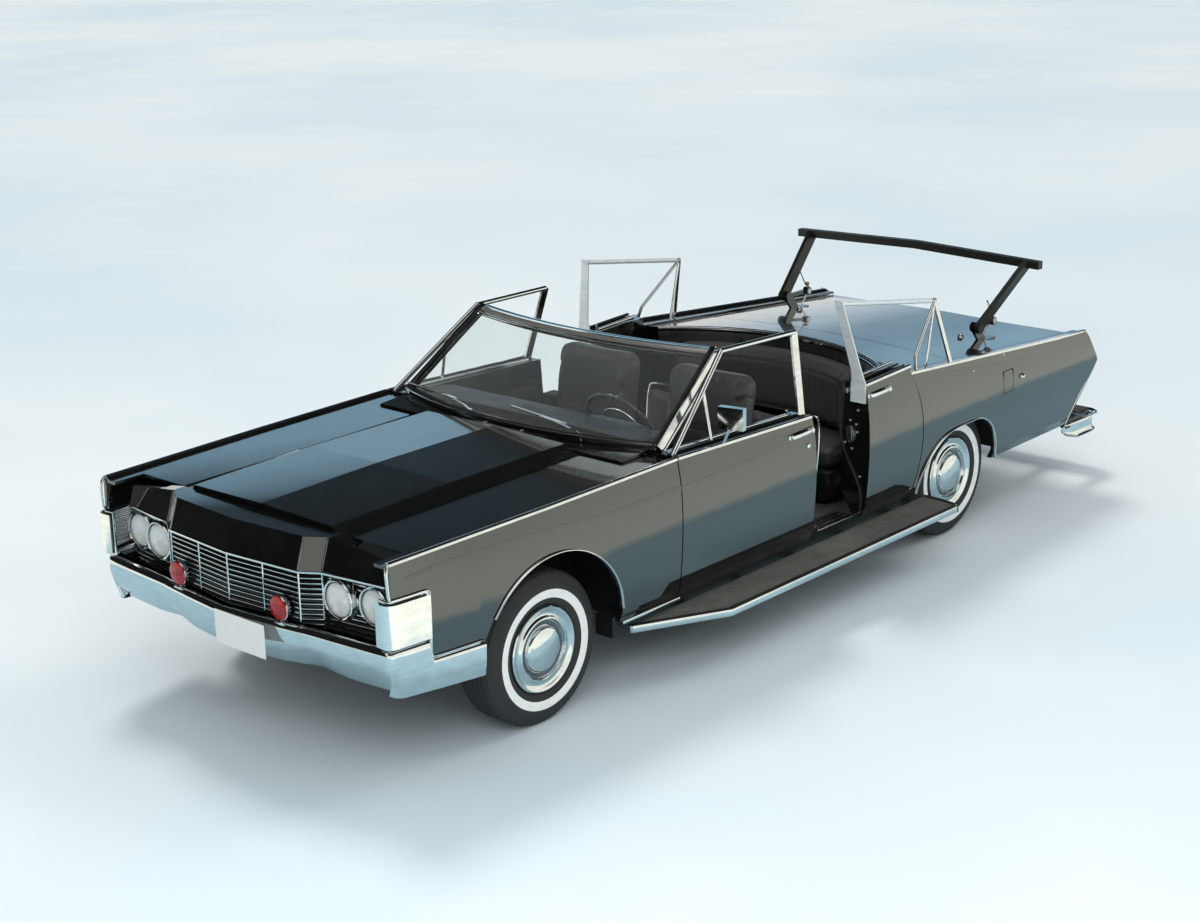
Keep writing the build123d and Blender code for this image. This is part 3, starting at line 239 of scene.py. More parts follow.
def bulge_y(x):
    """How far the side swells past the belt line at station x."""
    return table(x, [(905, 6), (450, 30), (-4540, 30)])


def deck_z(x, y):
    """Height of the crowned deck behind the cockpit."""
    return belt_z(x) - 22 + 34 * (1 - (y / DECK_HALF) ** 2)


def tail_x(z):
    """Station of the sloping tail panel at height z."""
    return np.interp(z, (690, 830), (-4634, -4562))


def wall_y(x, z):
    """How far out the body's side stands at station x and height z: a smooth curve from the belt to the
    widest line and in to the sill."""
    x, z = np.broadcast_arrays(np.asarray(x, float), np.asarray(z, float))
    belt, bulge, top = side_y(x), bulge_y(x), belt_z(x) - 6
    upper = np.clip((z - 760) / np.maximum(top - 760, 1), 0, 1)
    lower = np.clip((760 - z) / 360, 0, 1)
    return np.where(z >= 760, belt + bulge * (1 - upper ** 2.1), belt + bulge - 22 * lower ** 2.3)


def face_outwards(mesh):
    """Turns a mesh's faces outwards."""
    work = bmesh.new()
    work.from_mesh(mesh)
    bmesh.ops.recalc_face_normals(work, faces=work.faces)
    work.to_mesh(mesh)
    work.free()


def piece(name, parts, finish, body, crease=35):
    """Makes one object from (vertices, faces) parts: its faces are turned outwards, smoothed below the crease
    angle, and it rides on a body. A part may be followed by the index of its own finish."""
    finishes = finish if isinstance(finish, (list, tuple)) else [finish]
    plain = [p if len(p) == 3 else (*p, 0) for p in parts]
    verts, faces = joined([(v, f) for v, f, _ in plain])
    mesh = bpy.data.meshes.new(name)
    mesh.from_pydata((verts / 1000 + (FRONT_AXLE, 0, 0)).tolist(), [], faces)
    mesh.polygons.foreach_set("material_index", np.concatenate([np.full(len(f), i) for _, f, i in plain]))
    face_outwards(mesh)
    for one in finishes:
        mesh.materials.append(bpy.data.materials[one])
    mesh.polygons.foreach_set("use_smooth", np.full(len(mesh.polygons), True))
    mesh.set_sharp_from_angle(angle=math.radians(crease))
    obj = bpy.data.objects.new(name, mesh)
    bpy.context.scene.collection.objects.link(obj)
    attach(obj, body)
    return obj


# ---- Finishes ----
class Nodes:
    """Builds a node tree: nodes are added by type and wired by the names or the numbers of their sockets."""

    def __init__(self, tree):
        self.tree = tree

    def node(self, kind, out, settings=None, **inputs):
        """Adds a node, sets or links its inputs, and returns the named output. An input goes by its name,
        or by i and its number."""
        made = self.tree.nodes.new("ShaderNode" + kind)
        for key, value in (settings or {}).items():
            setattr(made, key, value)
        for key, value in inputs.items():
            numbered = key[0] == "i" and key[1:].isdigit()
            self.join(made.inputs[int(key[1:]) if numbered else key.replace("_", " ")], value)
        return made.outputs[out]

    def join(self, socket, value):
        if isinstance(value, bpy.types.NodeSocket):
            self.tree.links.new(value, socket)
        else:
            socket.default_value = value

    def ramp(self, value, low, high, first, last):
        """Maps a value from low..high to first..last and clamps it."""
        return self.node("MapRange", "Result", Value=value, i1=low, i2=high, i3=first, i4=last)

    def mix(self, factor, a, b):
        """Mixes two colours."""
        return self.node("Mix", 2, {"data_type": "RGBA"}, i0=factor, i6=a, i7=b)

    def sum(self, a, b, operation="ADD"):
        return self.node("Math", "Value", {"operation": operation}, i0=a, i1=b)


class Finish(Nodes):
    """One procedural material."""

    def __init__(self, name):
        self.material = bpy.data.materials.new(name)
        self.material.use_nodes = True
        super().__init__(self.material.node_tree)
        self.shader = next(n for n in self.tree.nodes if n.type == "BSDF_PRINCIPLED")
        self.place = self.node("TexCoord", "Object")

    def noise(self, scale, detail=3.0, rough=0.5, place=None):
        return self.node("TexNoise", "Fac", Vector=place or self.place, Scale=scale, Detail=detail,
                         Roughness=rough)

    def stretched(self, scale, turn=(0, 0, 0)):
        return self.node("Mapping", "Vector", Vector=self.place, Scale=scale, Rotation=turn)

    def bump(self, height, distance, strength=1.0, normal=None):
        extra = {} if normal is None else {"Normal": normal}
        return self.node("Bump", "Normal", Height=height, Distance=distance, Strength=strength, **extra)

    def wave(self, scale, axis="X"):
        settings = {"wave_type": "BANDS", "bands_direction": axis, "wave_profile": "SIN"}
        return self.node("TexWave", "Fac", settings, Vector=self.place, Scale=scale, Distortion=0.0)

    def set(self, **inputs):
        for key, value in inputs.items():
            self.join(self.shader.inputs[key.replace("_", " ")], value)
        return self


def colour(r, g, b):
    """A colour with full alpha, as sockets take it."""
    return (r, g, b, 1.0)


def shifted(tint, times, add=0.0):
    """A tint made paler or darker, as a colour."""
    return colour(*(add + times * c for c in tint))


def body_paint(name, tint):
    """Deep gloss paint: a dark base under a clear coat, with a faint long ripple, fine orange peel and
    light dust."""
    f = Finish(name)
    ripple = f.noise(2.2, 1.0)
    peel = f.noise(420, 1.0)
    dust = f.ramp(f.noise(7, 7.0, 0.7), 0.5, 0.85, 0.0, 0.25)
    shade = f.mix(dust, colour(*tint), shifted(tint, 1, 0.014))
    normal = f.bump(peel, 0.00001, 0.3, f.bump(ripple, 0.003, 0.1))
    f.set(Base_Color=shade, Roughness=f.ramp(dust, 0, 0.25, 0.2, 0.34), Specular_IOR_Level=0.2,
          Coat_Weight=1.0, Coat_Roughness=0.008, Coat_IOR=2.0, Normal=normal, Coat_Normal=normal)


def bright(name, tint=(0.86, 0.87, 0.88), rough=0.05, grain=0.0, metal=1.0):
    """Polished plate: a bright metal with soft long waves, smears that change its gloss, and tiny pits."""
    f = Finish(name)
    smear = f.noise(14, 5.0, 0.6, f.stretched((1, 1, 3)))
    pits = f.ramp(f.noise(900, 2.0), 0.66, 0.74, 0.0, 1.0)
    shade = f.mix(f.ramp(smear, 0.35, 0.75, 0.0, 1.0), colour(*tint), shifted(tint, 0.82))
    shade = f.mix(f.sum(pits, 0.35, "MULTIPLY"), shade, colour(0.25, 0.24, 0.22))
    height = f.noise(7, 1.0)
    normal = f.bump(height, 0.0016, 0.3)
    if grain:
        lines = f.noise(60, 3.0, 0.7, f.stretched((1, 1, 24)))
        normal = f.bump(lines, 0.0002, grain, normal)
    f.set(Base_Color=shade, Metallic=metal, Roughness=f.ramp(smear, 0.3, 0.8, rough, rough + 0.09),
          Normal=normal)


def leather(name, tint, grain=1.0):
    """Upholstery leather: cell-shaped grain, slow creases, worn lighter ridges and an uneven sheen."""
    f = Finish(name)
    cells = f.node("TexVoronoi", "Distance", {"feature": "DISTANCE_TO_EDGE"}, Vector=f.place, Scale=420.0)
    crease = f.noise(26, 5.0, 0.62, f.stretched((1, 1.6, 1)))
    broad = f.noise(5, 3.0)
    shade = f.mix(f.ramp(broad, 0.3, 0.7, 0.0, 1.0), colour(*tint),
                  shifted(tint, 1.6, 0.004))
    shade = f.mix(f.ramp(crease, 0.6, 0.8, 0.0, 0.35), shade, shifted(tint, 1.2, 0.006))
    normal = f.bump(f.ramp(cells, 0.0, 0.25, 0.0, 1.0), 0.0003, 0.5 * grain, f.bump(crease, 0.004, 0.4))
    f.set(Base_Color=shade, Roughness=f.ramp(crease, 0.3, 0.75, 0.27, 0.42), Specular_IOR_Level=0.3,
          Coat_Weight=0.1, Coat_Roughness=0.2, Normal=normal)


def rubber(name, tint, rough=0.7, scale=60.0):
    """Moulded rubber: fine pores, and scuffs that are paler and rougher."""
    f = Finish(name)
    scuff = f.noise(scale / 5, 6.0, 0.7)
    pores = f.noise(scale * 12, 2.0)
    shade = f.mix(f.ramp(scuff, 0.45, 0.75, 0.0, 1.0), colour(*tint),
                  shifted(tint, 1.5, 0.02))
    f.set(Base_Color=shade, Roughness=f.ramp(scuff, 0.3, 0.8, rough - 0.12, rough + 0.15),
          Normal=f.bump(pores, 0.0003, 0.4, f.bump(scuff, 0.001, 0.25)))


def white_wall(name):
    """Pale sidewall band: chalky rubber with rubbed grey patches and a fine texture."""
    f = Finish(name)
    rub = f.noise(24, 6.0, 0.7)
    shade = f.mix(f.ramp(rub, 0.5, 0.8, 0.0, 1.0), colour(0.93, 0.92, 0.88), colour(0.76, 0.75, 0.71))
    f.set(Base_Color=shade, Roughness=f.ramp(rub, 0.3, 0.8, 0.45, 0.65),
          Normal=f.bump(f.noise(500, 2.0), 0.0002, 0.3))


def chassis(name):
    """Satin underbody paint with dust on what faces up and a rough grain."""
    f = Finish(name)
    up = f.node("SeparateXYZ", "Z", Vector=f.node("NewGeometry", "Normal"))
    dust = f.sum(f.ramp(up, 0.4, 1.0, 0.0, 0.6), f.noise(18, 6.0, 0.65), "MULTIPLY")
    shade = f.mix(dust, colour(0.011, 0.012, 0.012), colour(0.06, 0.057, 0.05))
    f.set(Base_Color=shade, Roughness=f.ramp(dust, 0.0, 0.5, 0.42, 0.75),
          Normal=f.bump(f.noise(160, 4.0), 0.0006, 0.4))


def ribbed_mat(name):
    """Moulded running-board rubber: close ribs along the car with a cross hatch, greyed by wear in random
    patches, and painted shade that darkens the grooves between the ribs."""
    f = Finish(name)
    ribs = f.wave(26, "Y")
    cross = f.wave(34, "X")
    wear = f.noise(9, 6.0, 0.7)
    height = f.sum(ribs, cross, "MULTIPLY")
    shade = f.mix(f.ramp(wear, 0.35, 0.75, 0.1, 0.9), colour(0.12, 0.115, 0.10), colour(0.22, 0.21, 0.185))
    # painted shade: the lower the rib pattern, the darker, so the grooves go near-black
    shade = f.mix(f.ramp(height, 0.0, 0.5, 0.45, 0.0), shade, colour(0.05, 0.05, 0.045))
    f.set(Base_Color=shade, Roughness=f.ramp(wear, 0.3, 0.8, 0.5, 0.8), Normal=f.bump(height, 0.003, 0.8))


def carpet(name, tint):
    """Cut-pile carpet: tufts from cells at two scales, with painted shade that darkens the gaps between them,
    brushed patches and a soft sheen.
    """
    f = Finish(name)
    tufts = f.node("TexVoronoi", "Distance", Vector=f.place, Scale=380.0)
    brushed = f.noise(11, 5.0, 0.6)
    # painted shade: paler at each tuft's middle, darker towards the gaps between tufts
    shade = f.mix(f.ramp(tufts, 0.0, 0.7, 0.0, 1.0), shifted(tint, 1.5, 0.02), colour(*tint))
    shade = f.mix(f.ramp(brushed, 0.35, 0.7, 0.0, 0.5), shade, shifted(tint, 1.3, 0.03))
    f.set(Base_Color=shade, Roughness=f.ramp(brushed, 0.2, 0.8, 0.85, 1.0), Sheen_Weight=0.3,
          Sheen_Roughness=0.5, Normal=f.bump(tufts, 0.002, 0.9))


def clear_glass(name, tint):
    """Window glass: fully transmissive, faintly tinted, with wiping marks that barely change its gloss."""
    f = Finish(name)
    marks = f.noise(6, 5.0, 0.7, f.stretched((1, 4, 1), (0.3, 0, 0.4)))
    shade = f.mix(f.ramp(marks, 0.5, 0.8, 0.0, 0.5), colour(*tint), shifted(tint, 0.94))
    f.set(Base_Color=shade, Roughness=f.ramp(marks, 0.4, 0.8, 0.0, 0.04), Transmission_Weight=1.0, IOR=1.45,
          Normal=f.bump(marks, 0.0002, 0.1))


def satin_paint(name, tint):
    """Satin enamel over steel: small dimples, handling marks that are duller, and rubbed paler edges of
    wear."""
    f = Finish(name)
    marks = f.noise(16, 6.0, 0.65)
    shade = f.mix(f.ramp(marks, 0.5, 0.8, 0.0, 0.6), colour(*tint),
                  shifted(tint, 1.4, 0.012))
    f.set(Base_Color=shade, Roughness=f.ramp(marks, 0.3, 0.8, 0.34, 0.5), Specular_IOR_Level=0.45,
          Normal=f.bump(f.noise(240, 2.0), 0.0002, 0.3))


def fluted_glass(name, tint, flute=95.0, axis="Y", clear=1.0, rough=0.04):
    """Pressed lamp glass: upright flutes crossed by a fainter row of prisms, with dust in the grooves."""
    f = Finish(name)
    flutes = f.wave(flute, axis)
    prisms = f.wave(flute * 0.45, "Z")
    height = f.sum(flutes, f.sum(prisms, 0.5, "MULTIPLY"))
    dust = f.noise(50, 5.0)
    shade = f.mix(f.ramp(dust, 0.45, 0.8, 0.0, 0.5), colour(*tint), shifted(tint, 0.85))
    f.set(Base_Color=shade, Roughness=f.ramp(dust, 0.3, 0.8, rough, rough + 0.1), Transmission_Weight=clear,
          IOR=1.5, Normal=f.bump(height, 0.0012, 0.45))


def red_lens(name):
    """Ruby lamp glass: a hexagon of small prisms over a bright backing, with painted shade that darkens each
    prism towards its grooves, and a faint painted glow from emission though the lamp is not lit.
    """
    f = Finish(name)
    cells = f.node("TexVoronoi", "Distance", Vector=f.place, Scale=110.0)
    rings = f.noise(30, 3.0)
    # painted shade: each prism darker towards its grooves
    shade = f.mix(f.ramp(cells, 0.1, 0.6, 0.0, 1.0), colour(0.5, 0.004, 0.008), colour(0.16, 0.001, 0.003))
    shade = f.mix(f.ramp(rings, 0.55, 0.75, 0.0, 0.5), shade, colour(0.6, 0.012, 0.012))
    # the emission is a faint painted glow
    f.set(Base_Color=shade, Roughness=f.ramp(rings, 0.3, 0.8, 0.08, 0.22), Specular_IOR_Level=0.4,
          Coat_Weight=0.5, Coat_Roughness=0.04, Normal=f.bump(f.ramp(cells, 0, 0.5, 1.0, 0.0), 0.0015, 0.7),
          Emission_Color=colour(0.6, 0.005, 0.008), Emission_Strength=0.06)


def dash_skin(name):
    """Padded dash cover: pebbled vinyl with a soft sheen, paler where the sun has worked on its top."""
    f = Finish(name)
    pebble = f.node("TexVoronoi", "Distance", {"feature": "SMOOTH_F1"}, Vector=f.place, Scale=330.0)
    fade = f.noise(7, 4.0)
    shade = f.mix(f.ramp(fade, 0.35, 0.7, 0.0, 1.0), colour(0.006, 0.0065, 0.006),
                  colour(0.015, 0.015, 0.013))
    f.set(Base_Color=shade, Roughness=f.ramp(fade, 0.3, 0.7, 0.42, 0.6), Normal=f.bump(pebble, 0.0004, 0.6))


def painted_plate(name):
    """Blank registration plate: enamel over steel with a soft edge of grime."""
    f = Finish(name)
    grime = f.noise(20, 6.0, 0.7)
    shade = f.mix(f.ramp(grime, 0.55, 0.85, 0.0, 0.4), colour(0.8, 0.79, 0.76), colour(0.6, 0.57, 0.52))
    f.set(Base_Color=shade, Roughness=f.ramp(grime, 0.3, 0.8, 0.3, 0.55), Normal=f.bump(grime, 0.0005, 0.3))


def cast_iron(name):
    """Engine castings: sand-cast grain with oil stains that are darker and glossier."""
    f = Finish(name)
    oil = f.noise(9, 6.0, 0.65)
    shade = f.mix(f.ramp(oil, 0.4, 0.65, 0.0, 1.0), colour(0.05, 0.06, 0.065), colour(0.012, 0.011, 0.01))
    f.set(Base_Color=shade, Roughness=f.ramp(oil, 0.4, 0.65, 0.7, 0.3), Metallic=0.4,
          Normal=f.bump(f.noise(240, 4.0), 0.0008, 0.5))


def finishes():
    """Makes every material that the pieces and the carried-over nodes use."""
    s = bpy.context.scene.limousine
    body_paint("deep_gloss_paint", tuple(s.paint))
    satin_paint("rail_paint", (0.012, 0.012, 0.009))
    bright("polished_plate")
    bright("satin_plate", (0.78, 0.8, 0.83), 0.16, 0.3)
    bright("post_plate", (0.86, 0.89, 0.9), 0.28, 0.25, 0.25)
    bright("header_satin", (0.62, 0.6, 0.56), 0.3, 0.3, 0.8)
    bright("brushed_alloy", (0.72, 0.73, 0.75), 0.24, 0.5)
    bright("brass_catch", (0.62, 0.47, 0.22), 0.18, 0.2)
    bright("reflector_silver", (0.95, 0.95, 0.94), 0.08)
    leather("seat_leather", (0.007, 0.0078, 0.007))
    leather("trim_leather", (0.006, 0.0066, 0.006), 0.8)
    rubber("tyre_rubber", tuple(s.rubber), 0.68)
    rubber("seal_rubber", (0.008, 0.008, 0.008), 0.6, 90)
    rubber("rim_plastic", (0.012, 0.012, 0.012), 0.3, 120)
    white_wall("white_band")
    chassis("underbody_satin")
    ribbed_mat("board_rubber")
    carpet("cabin_carpet", (0.012, 0.013, 0.013))
    clear_glass("window_glass", (0.93, 0.97, 0.95))
    fluted_glass("lamp_glass", (0.97, 0.98, 0.98))
    fluted_glass("marker_glass", (0.80, 0.83, 0.83), 34.0, "Z", 0.8, 0.12)
    fluted_glass("tail_glass", (0.5, 0.01, 0.012), 70.0, "Y", 0.3, 0.1)
    red_lens("ruby_lens")
    dash_skin("dash_vinyl")
    painted_plate("blank_enamel")
    cast_iron("engine_iron")


CARRIED = {
    "deep_gloss_paint": ("front_fenders", "hood", "cowl", "quarter_panels", "tonneau", "deck_lid",
                         "tail_panel", "door_front_left", "door_front_right", "door_rear_left",
                         "door_rear_right"),
    "rail_paint": ("handrail",),
    "polished_plate": ("windscreen_frame", "frame_front_left", "frame_front_right", "quarter_frames"),
    "post_plate": ("frame_rear_left", "frame_rear_right"),
    "underbody_satin": ("underbody", "running_gear", "grille", "knuckle_left", "knuckle_right"),
    "board_rubber": ("running_boards",),
    "window_glass": ("windscreen_glass",),
    "dash_vinyl": ("dashboard",),
    "blank_enamel": ("number_plate",),
    "engine_iron": ("engine_block",),
}


def dress_nodes():
    """Gives each carried-over node its finish."""
    for finish, names in CARRIED.items():
        for name in names:
            slots = NODES[name].data.materials
            slots.clear()
            slots.append(bpy.data.materials[finish])


# ---- Stage ----
def placed(obj, right, up, back, at):
    """Puts a camera or a lamp at a point and turns it by its three axes."""
    bpy.context.scene.collection.objects.link(obj)
    matrix = np.eye(4)
    matrix[:3] = np.column_stack([right, up, back, at])
    obj.matrix_world = Matrix(matrix.tolist())
    return obj


def place_camera():
    """Camera at the height, distance and turn from which the car is seen."""
    camera = placed(bpy.data.objects.new("camera", bpy.data.cameras.new("camera")),
                    (-0.6635, 0.7479, -0.02035), (-0.23439, -0.18195, 0.95496), (0.71051, 0.63839, 0.29603),
                    (FRONT_AXLE + 6.163, 6.7775, 3.8327))
    camera.data.sensor_width = 36
    camera.data.lens = bpy.context.scene.limousine.lens
    camera.data.clip_end = 300
    bpy.context.scene.camera = camera


FAR_BANDS = [
    (-1.34, (0.85, 0.92, 0.95)), (-0.82, (1.0, 1.0, 0.97)), (-0.745, (0.58, 0.74, 0.86)),
    (-0.70, (0.30, 0.45, 0.58)), (-0.65, (0.28, 0.46, 0.60)), (-0.60, (0.44, 0.72, 0.92)),
    (-0.537, (0.42, 0.72, 0.94)), (-0.526, (0.010, 0.011, 0.010)), (0.76, (0.012, 0.012, 0.012)),
    (0.9, (0.8, 0.81, 0.79)), (1.34, (1.0, 1.0, 0.97))]
NEAR_BANDS = [
    (0.0, (1.0, 1.0, 0.88)), (0.3, (0.92, 0.95, 0.87)), (0.36, (0.03, 0.03, 0.03)), (0.78, (0.02, 0.02, 0.02)),
    (0.9, (0.85, 0.86, 0.84)), (1.0, (1.0, 1.0, 0.97))]


def studio_world():
    """A pale studio wall, dark above it, with soft light overhead. Behind the car its bands lean with the
    direction's height plus shares of its Y and X; on the near side they follow the height alone. Diffuse
    rays meet an even sky, and the camera sees an even pale backdrop."""
    world = bpy.data.worlds.new("studio")
    world.use_nodes = True
    bpy.context.scene.world = world
    n = Nodes(world.node_tree)
    glow = next(node for node in n.tree.nodes if node.type == "BACKGROUND")
    direction = n.node("TexCoord", "Generated")
    x, y, z = (n.node("SeparateXYZ", axis, Vector=direction) for axis in "XYZ")

    def bands(value, stops):
        """The wall's colour from a value by (value, colour) stops."""
        first, last = stops[0][0], stops[-1][0]
        wall = n.node("ValToRGB", "Color", i0=n.ramp(value, first, last, 0.0, 1.0))
        marks = wall.node.color_ramp.elements
        while len(marks) < len(stops):
            marks.new(0.5)
        for mark, (at, tint) in zip(marks, stops):
            mark.position, mark.color = (at - first) / (last - first), colour(*tint)
        return wall
    height = z
    for axis, slope in ((y, 0.72), (x, 0.5)):
        height = n.node("Math", "Value", {"operation": "MULTIPLY_ADD"}, i0=axis, i1=slope, i2=height)
    both = n.mix(n.ramp(y, 0.05, 0.3, 0.0, 1.0), bands(height, FAR_BANDS), bands(z, NEAR_BANDS))
    seen = n.mix(n.node("LightPath", "Is Diffuse Ray"), both, colour(0.60, 0.65, 0.68))
    straight = n.sum(n.node("LightPath", "Is Camera Ray"), n.node("LightPath", "Is Transmission Ray"),
                     "MAXIMUM")
    n.join(glow.inputs["Color"], n.mix(straight, seen, colour(0.86, 0.91, 0.93)))
    glow.inputs["Strength"].default_value = 1.0


def floor_finish():
    """Seamless paper floor: pale blue washed towards white in broad patches, with faint scuffs. Glossy rays
    see a painted shadow instead: a blue band within about 2.3 m of the car's centre line, and a paler, warmer
    floor beyond it.
    """
    f = Finish("studio_paper")
    broad = f.noise(0.16, 3.0, 0.5)
    soft = f.noise(0.7, 4.0, 0.55)
    shade = f.mix(f.ramp(broad, 0.36, 0.64, 0.0, 1.0), colour(0.70, 0.79, 0.83), colour(0.84, 0.87, 0.87))
    shade = f.mix(f.ramp(soft, 0.5, 0.8, 0.0, 0.4), shade, colour(0.88, 0.90, 0.90))
    away = f.sum(f.node("SeparateXYZ", "Y", Vector=f.place), 0.0, "ABSOLUTE")
    # painted shadow for reflections only: blue near the car, pale and warm farther out
    reflected_painted_shadow = f.mix(f.ramp(away, 2.25, 2.45, 0.0, 1.0), colour(0.40, 0.585, 0.65), colour(0.98, 0.99, 0.86))
    mirrored_only = f.sum(f.node("LightPath", "Is Glossy Ray"), f.node("LightPath", "Is Transmission Ray"),
                          "SUBTRACT")
    shade = f.mix(f.ramp(mirrored_only, 0.0, 1.0, 0.0, 1.0), shade, reflected_painted_shadow)
    f.set(Base_Color=shade, Roughness=0.55, Specular_IOR_Level=0.25,
          Normal=f.bump(f.noise(30, 3.0), 0.001, 0.1))
    return f.material


def studio_light(name, place, target, power, tint=(1, 1, 1), size=None, angle=20):
    """A soft lamp at place, turned to target: a rectangle of the given size in metres, or without one a
    broad distant lamp that lights the whole floor alike. Polished faces show the studio's wall and not
    the lamp."""
    light = bpy.data.lights.new(name, "AREA" if size else "SUN")
    if size:
        light.shape, light.size, light.size_y = "RECTANGLE", size[0], size[1]
    else:
        light.angle = math.radians(angle)
    light.energy, light.color = power, tint
    away = unit(np.array(place, float) - np.array(target, float))
    side = unit(np.cross((0, 0, 1), away))
    lamp = placed(bpy.data.objects.new(name, light), side, np.cross(away, side), away, place)
    lamp.visible_glossy = False


FLOOR_HALF = 60


def stage():
    """Floor, studio lights, surroundings and camera."""
    place_camera()
    studio_world()
    across = np.linspace(-FLOOR_HALF, FLOOR_HALF, 3)
    verts, faces = skin(sheet(across[:, None], across[None], 0.0))
    mesh = bpy.data.meshes.new("studio_floor")
    mesh.from_pydata(verts.tolist(), [], faces)
    mesh.materials.append(floor_finish())
    floor = bpy.data.objects.new("studio_floor", mesh)
    bpy.context.scene.collection.objects.link(floor)
    s = bpy.context.scene.limousine
    studio_light("key", (-2.5, -3.6, 6.0), (0, 0, 0), 1.25 * s.light, (1.0, 0.98, 0.95), angle=16)
    studio_light("back", (-5.0, 2.0, 5.0), (0, 0, 0), 0.5 * s.light, (1.0, 0.99, 0.97), angle=24)
    studio_light("fill", (5.5, 5.0, 4.5), (0.3, 0, 0.6), 130 * s.light, (0.97, 0.99, 1.0), size=(4.5, 3.0))
    bpy.context.scene.view_settings.view_transform = "Standard"


# ---- Body brightwork ----
def belt_strip(x0, x1, rise=0.0, steps=24):
    """The bright crest along the belt: a rounded cap that sits on the corner between the side and the
    shelf."""
    x = np.linspace(x0, x1, steps)
    path = np.stack([x, side_y(x) - 10, belt_z(x) + rise - 1], 1)
    profile = np.array([(-13, 2), (-9, 5), (0, 6), (9, 4.5), (13, -1), (13.5, -9), (11, -10), (9, -3),
                        (0, -1), (-12, -1)])
    return carried(path, profile * (-1, 1))


def side_fold(points):
    """A pressed crease along the side: a low ridge, flat above and undercut below, that fades out at its
    rear end."""
    xz = smooth_path([(x, 0, z) for x, z in points], 6)
    path = np.stack([xz[:, 0], wall_y(xz[:, 0], xz[:, 2]) - 0.5, xz[:, 2]], 1)
    size = np.interp(np.arange(len(path)), (0, 4, len(path) - 8, len(path) - 1),
                     (0.4, 1, 1, 0.4 if points[0][0] < -800 else 1))
    return carried(path, np.array([(-6.5, -2), (-6.5, -0.3), (0, 2.6), (50, 0.2), (50, -2)]) * (-1, 1),
                   (0, 1, 0), scale=size)


def arch_lip(points):
    """A rolled lip round a wheel opening: an oval profile carried along a smooth curve on the left wall."""
    xz = smooth_path([(x, 0, z) for x, z in points], 6)
    path = np.stack([xz[:, 0], wall_y(xz[:, 0], xz[:, 2]) + 2, xz[:, 2]], 1)
    return carried(path, ring(5, 10, 2.2), (0, 1, 0))


def rear_arch_points():
    """Corner points of the rear wheel opening's edge: a long front slope, a flat top and a short rear
    curve."""
    x = -WHEELBASE
    return [(x + 448, 360), (x + 400, 455), (x + 330, 535), (x + 255, 590), (x + 170, 624), (x + 90, 637),
            (x - 20, 640), (x - 130, 638), (x - 205, 615), (x - 270, 570), (x - 318, 500), (x - 345, 420),
            (x - 352, 358)]


def front_arch_points():
    """The front wheel opening's edge, an arc of the radius that the fender is cut to."""
    a = np.radians(np.linspace(-2, 184, 16))
    points = [(10 + 446 * math.cos(t), 365 + 446 * math.sin(t)) for t in a]
    return [p for p in points if p[1] > 352 and not (p[0] > 380 and p[1] < 548)]


def brightwork():
    """Crest strips, wheel lips, the lamp's surround on the fender and the sill strips."""
    gap = 4
    fixed = []
    for x0, x1 in ((903, DOOR_EDGE + gap), (-2702, -4536)):
        fixed += pair(belt_strip(x0, x1, 0, 40))
    nose = [(903, 922, 1001), (915, 927, 985), (921, 930, 960), (921, 932, 930), (918, 933, 880),
            (915, 934, 858)]
    fixed += pair(carried(smooth_path(nose, 4), ring(5.5, 10, 1.5), (0, 1, 0)))
    edge = [(915, 936, 854), (820, 946, 852), (735, 955, 851), (719, 958, 842), (716, 960, 826),
            (716, 962, 700), (716, 960, 592), (712, 960, 570), (698, 962, 560), (600, 968, 556),
            (452, 980, 553)]
    path = smooth_path(edge, 4)
    path[:, 1] = wall_y(path[:, 0], path[:, 2]) + 1.5
    fixed += pair(carried(path, ring(5, 10, 1.8), (0, 1, 0)))
    fixed += pair(arch_lip(front_arch_points()))
    fixed += pair(arch_lip(rear_arch_points()))
    sill = [(-440, 958, 350), (DOOR_EDGE, 960, 350)]
    fixed += pair(carried(sill, rounded(8, 14, 3)))
    piece("body_brightwork", fixed, "polished_plate", "body")
    fender = [(830, 930), (586, 938), (238, 930), (-200, 905), (-413, 893), (-830, 891)]
    door_fold = [side_fold([(-840, 891), (-1300, 893), (-1640, 899)])]
    piece("fender_crease", pair(side_fold(fender)), "deep_gloss_paint", "body")
    for side, sign in SIDES:
        piece(f"front_door_crease_{side}", on_side(door_fold, sign), "deep_gloss_paint",
              f"front_door_{side}")
    y = side_y(-1400) - 88
    for side, sign in SIDES:
        for which, x0, x1, rise, ends, inward, up in (
                ("front_door", DOOR_EDGE - gap, -1848, 0, (90, 60), 0, 6),
                ("rear_door", -2302, -2696, 40, (40, 30), 12, 48)):
            inner = [(x0 - ends[0], y - inward, belt_z(x0) + up), (x1 + ends[1], y - inward, belt_z(x1) + up)]
            parts = [belt_strip(x0, x1, rise, 16), carried(inner, rounded(16, 12, 4))]
            piece(f"{which}_belt_{side}", on_side(parts, sign), "polished_plate", f"{which}_{side}")


# ---- Nose ----
def nose_line(setback=0.0, half=NOSE_HALF):
    """The nose in plan from right to left at a setback: flat runs between its corners, as (x, y)."""
    xs = np.array([841, 886, 938, 972, 938, 886, 841], float) - setback
    ys = np.array([-NOSE_HALF, -503, -420, 0, 420, 503, NOSE_HALF], float)
    y = np.unique(np.concatenate([np.linspace(-half, half, 9), ys[np.abs(ys) <= half]]))
    return np.stack([np.interp(y, ys, xs), y], 1)


def level_bar(z, setback, half, width, height, radius=2.0):
    """A bar that follows the nose line at height z."""
    plan = nose_line(setback, half)
    return carried(np.column_stack([plan, np.full(len(plan), z)]), rounded(width, height, radius))


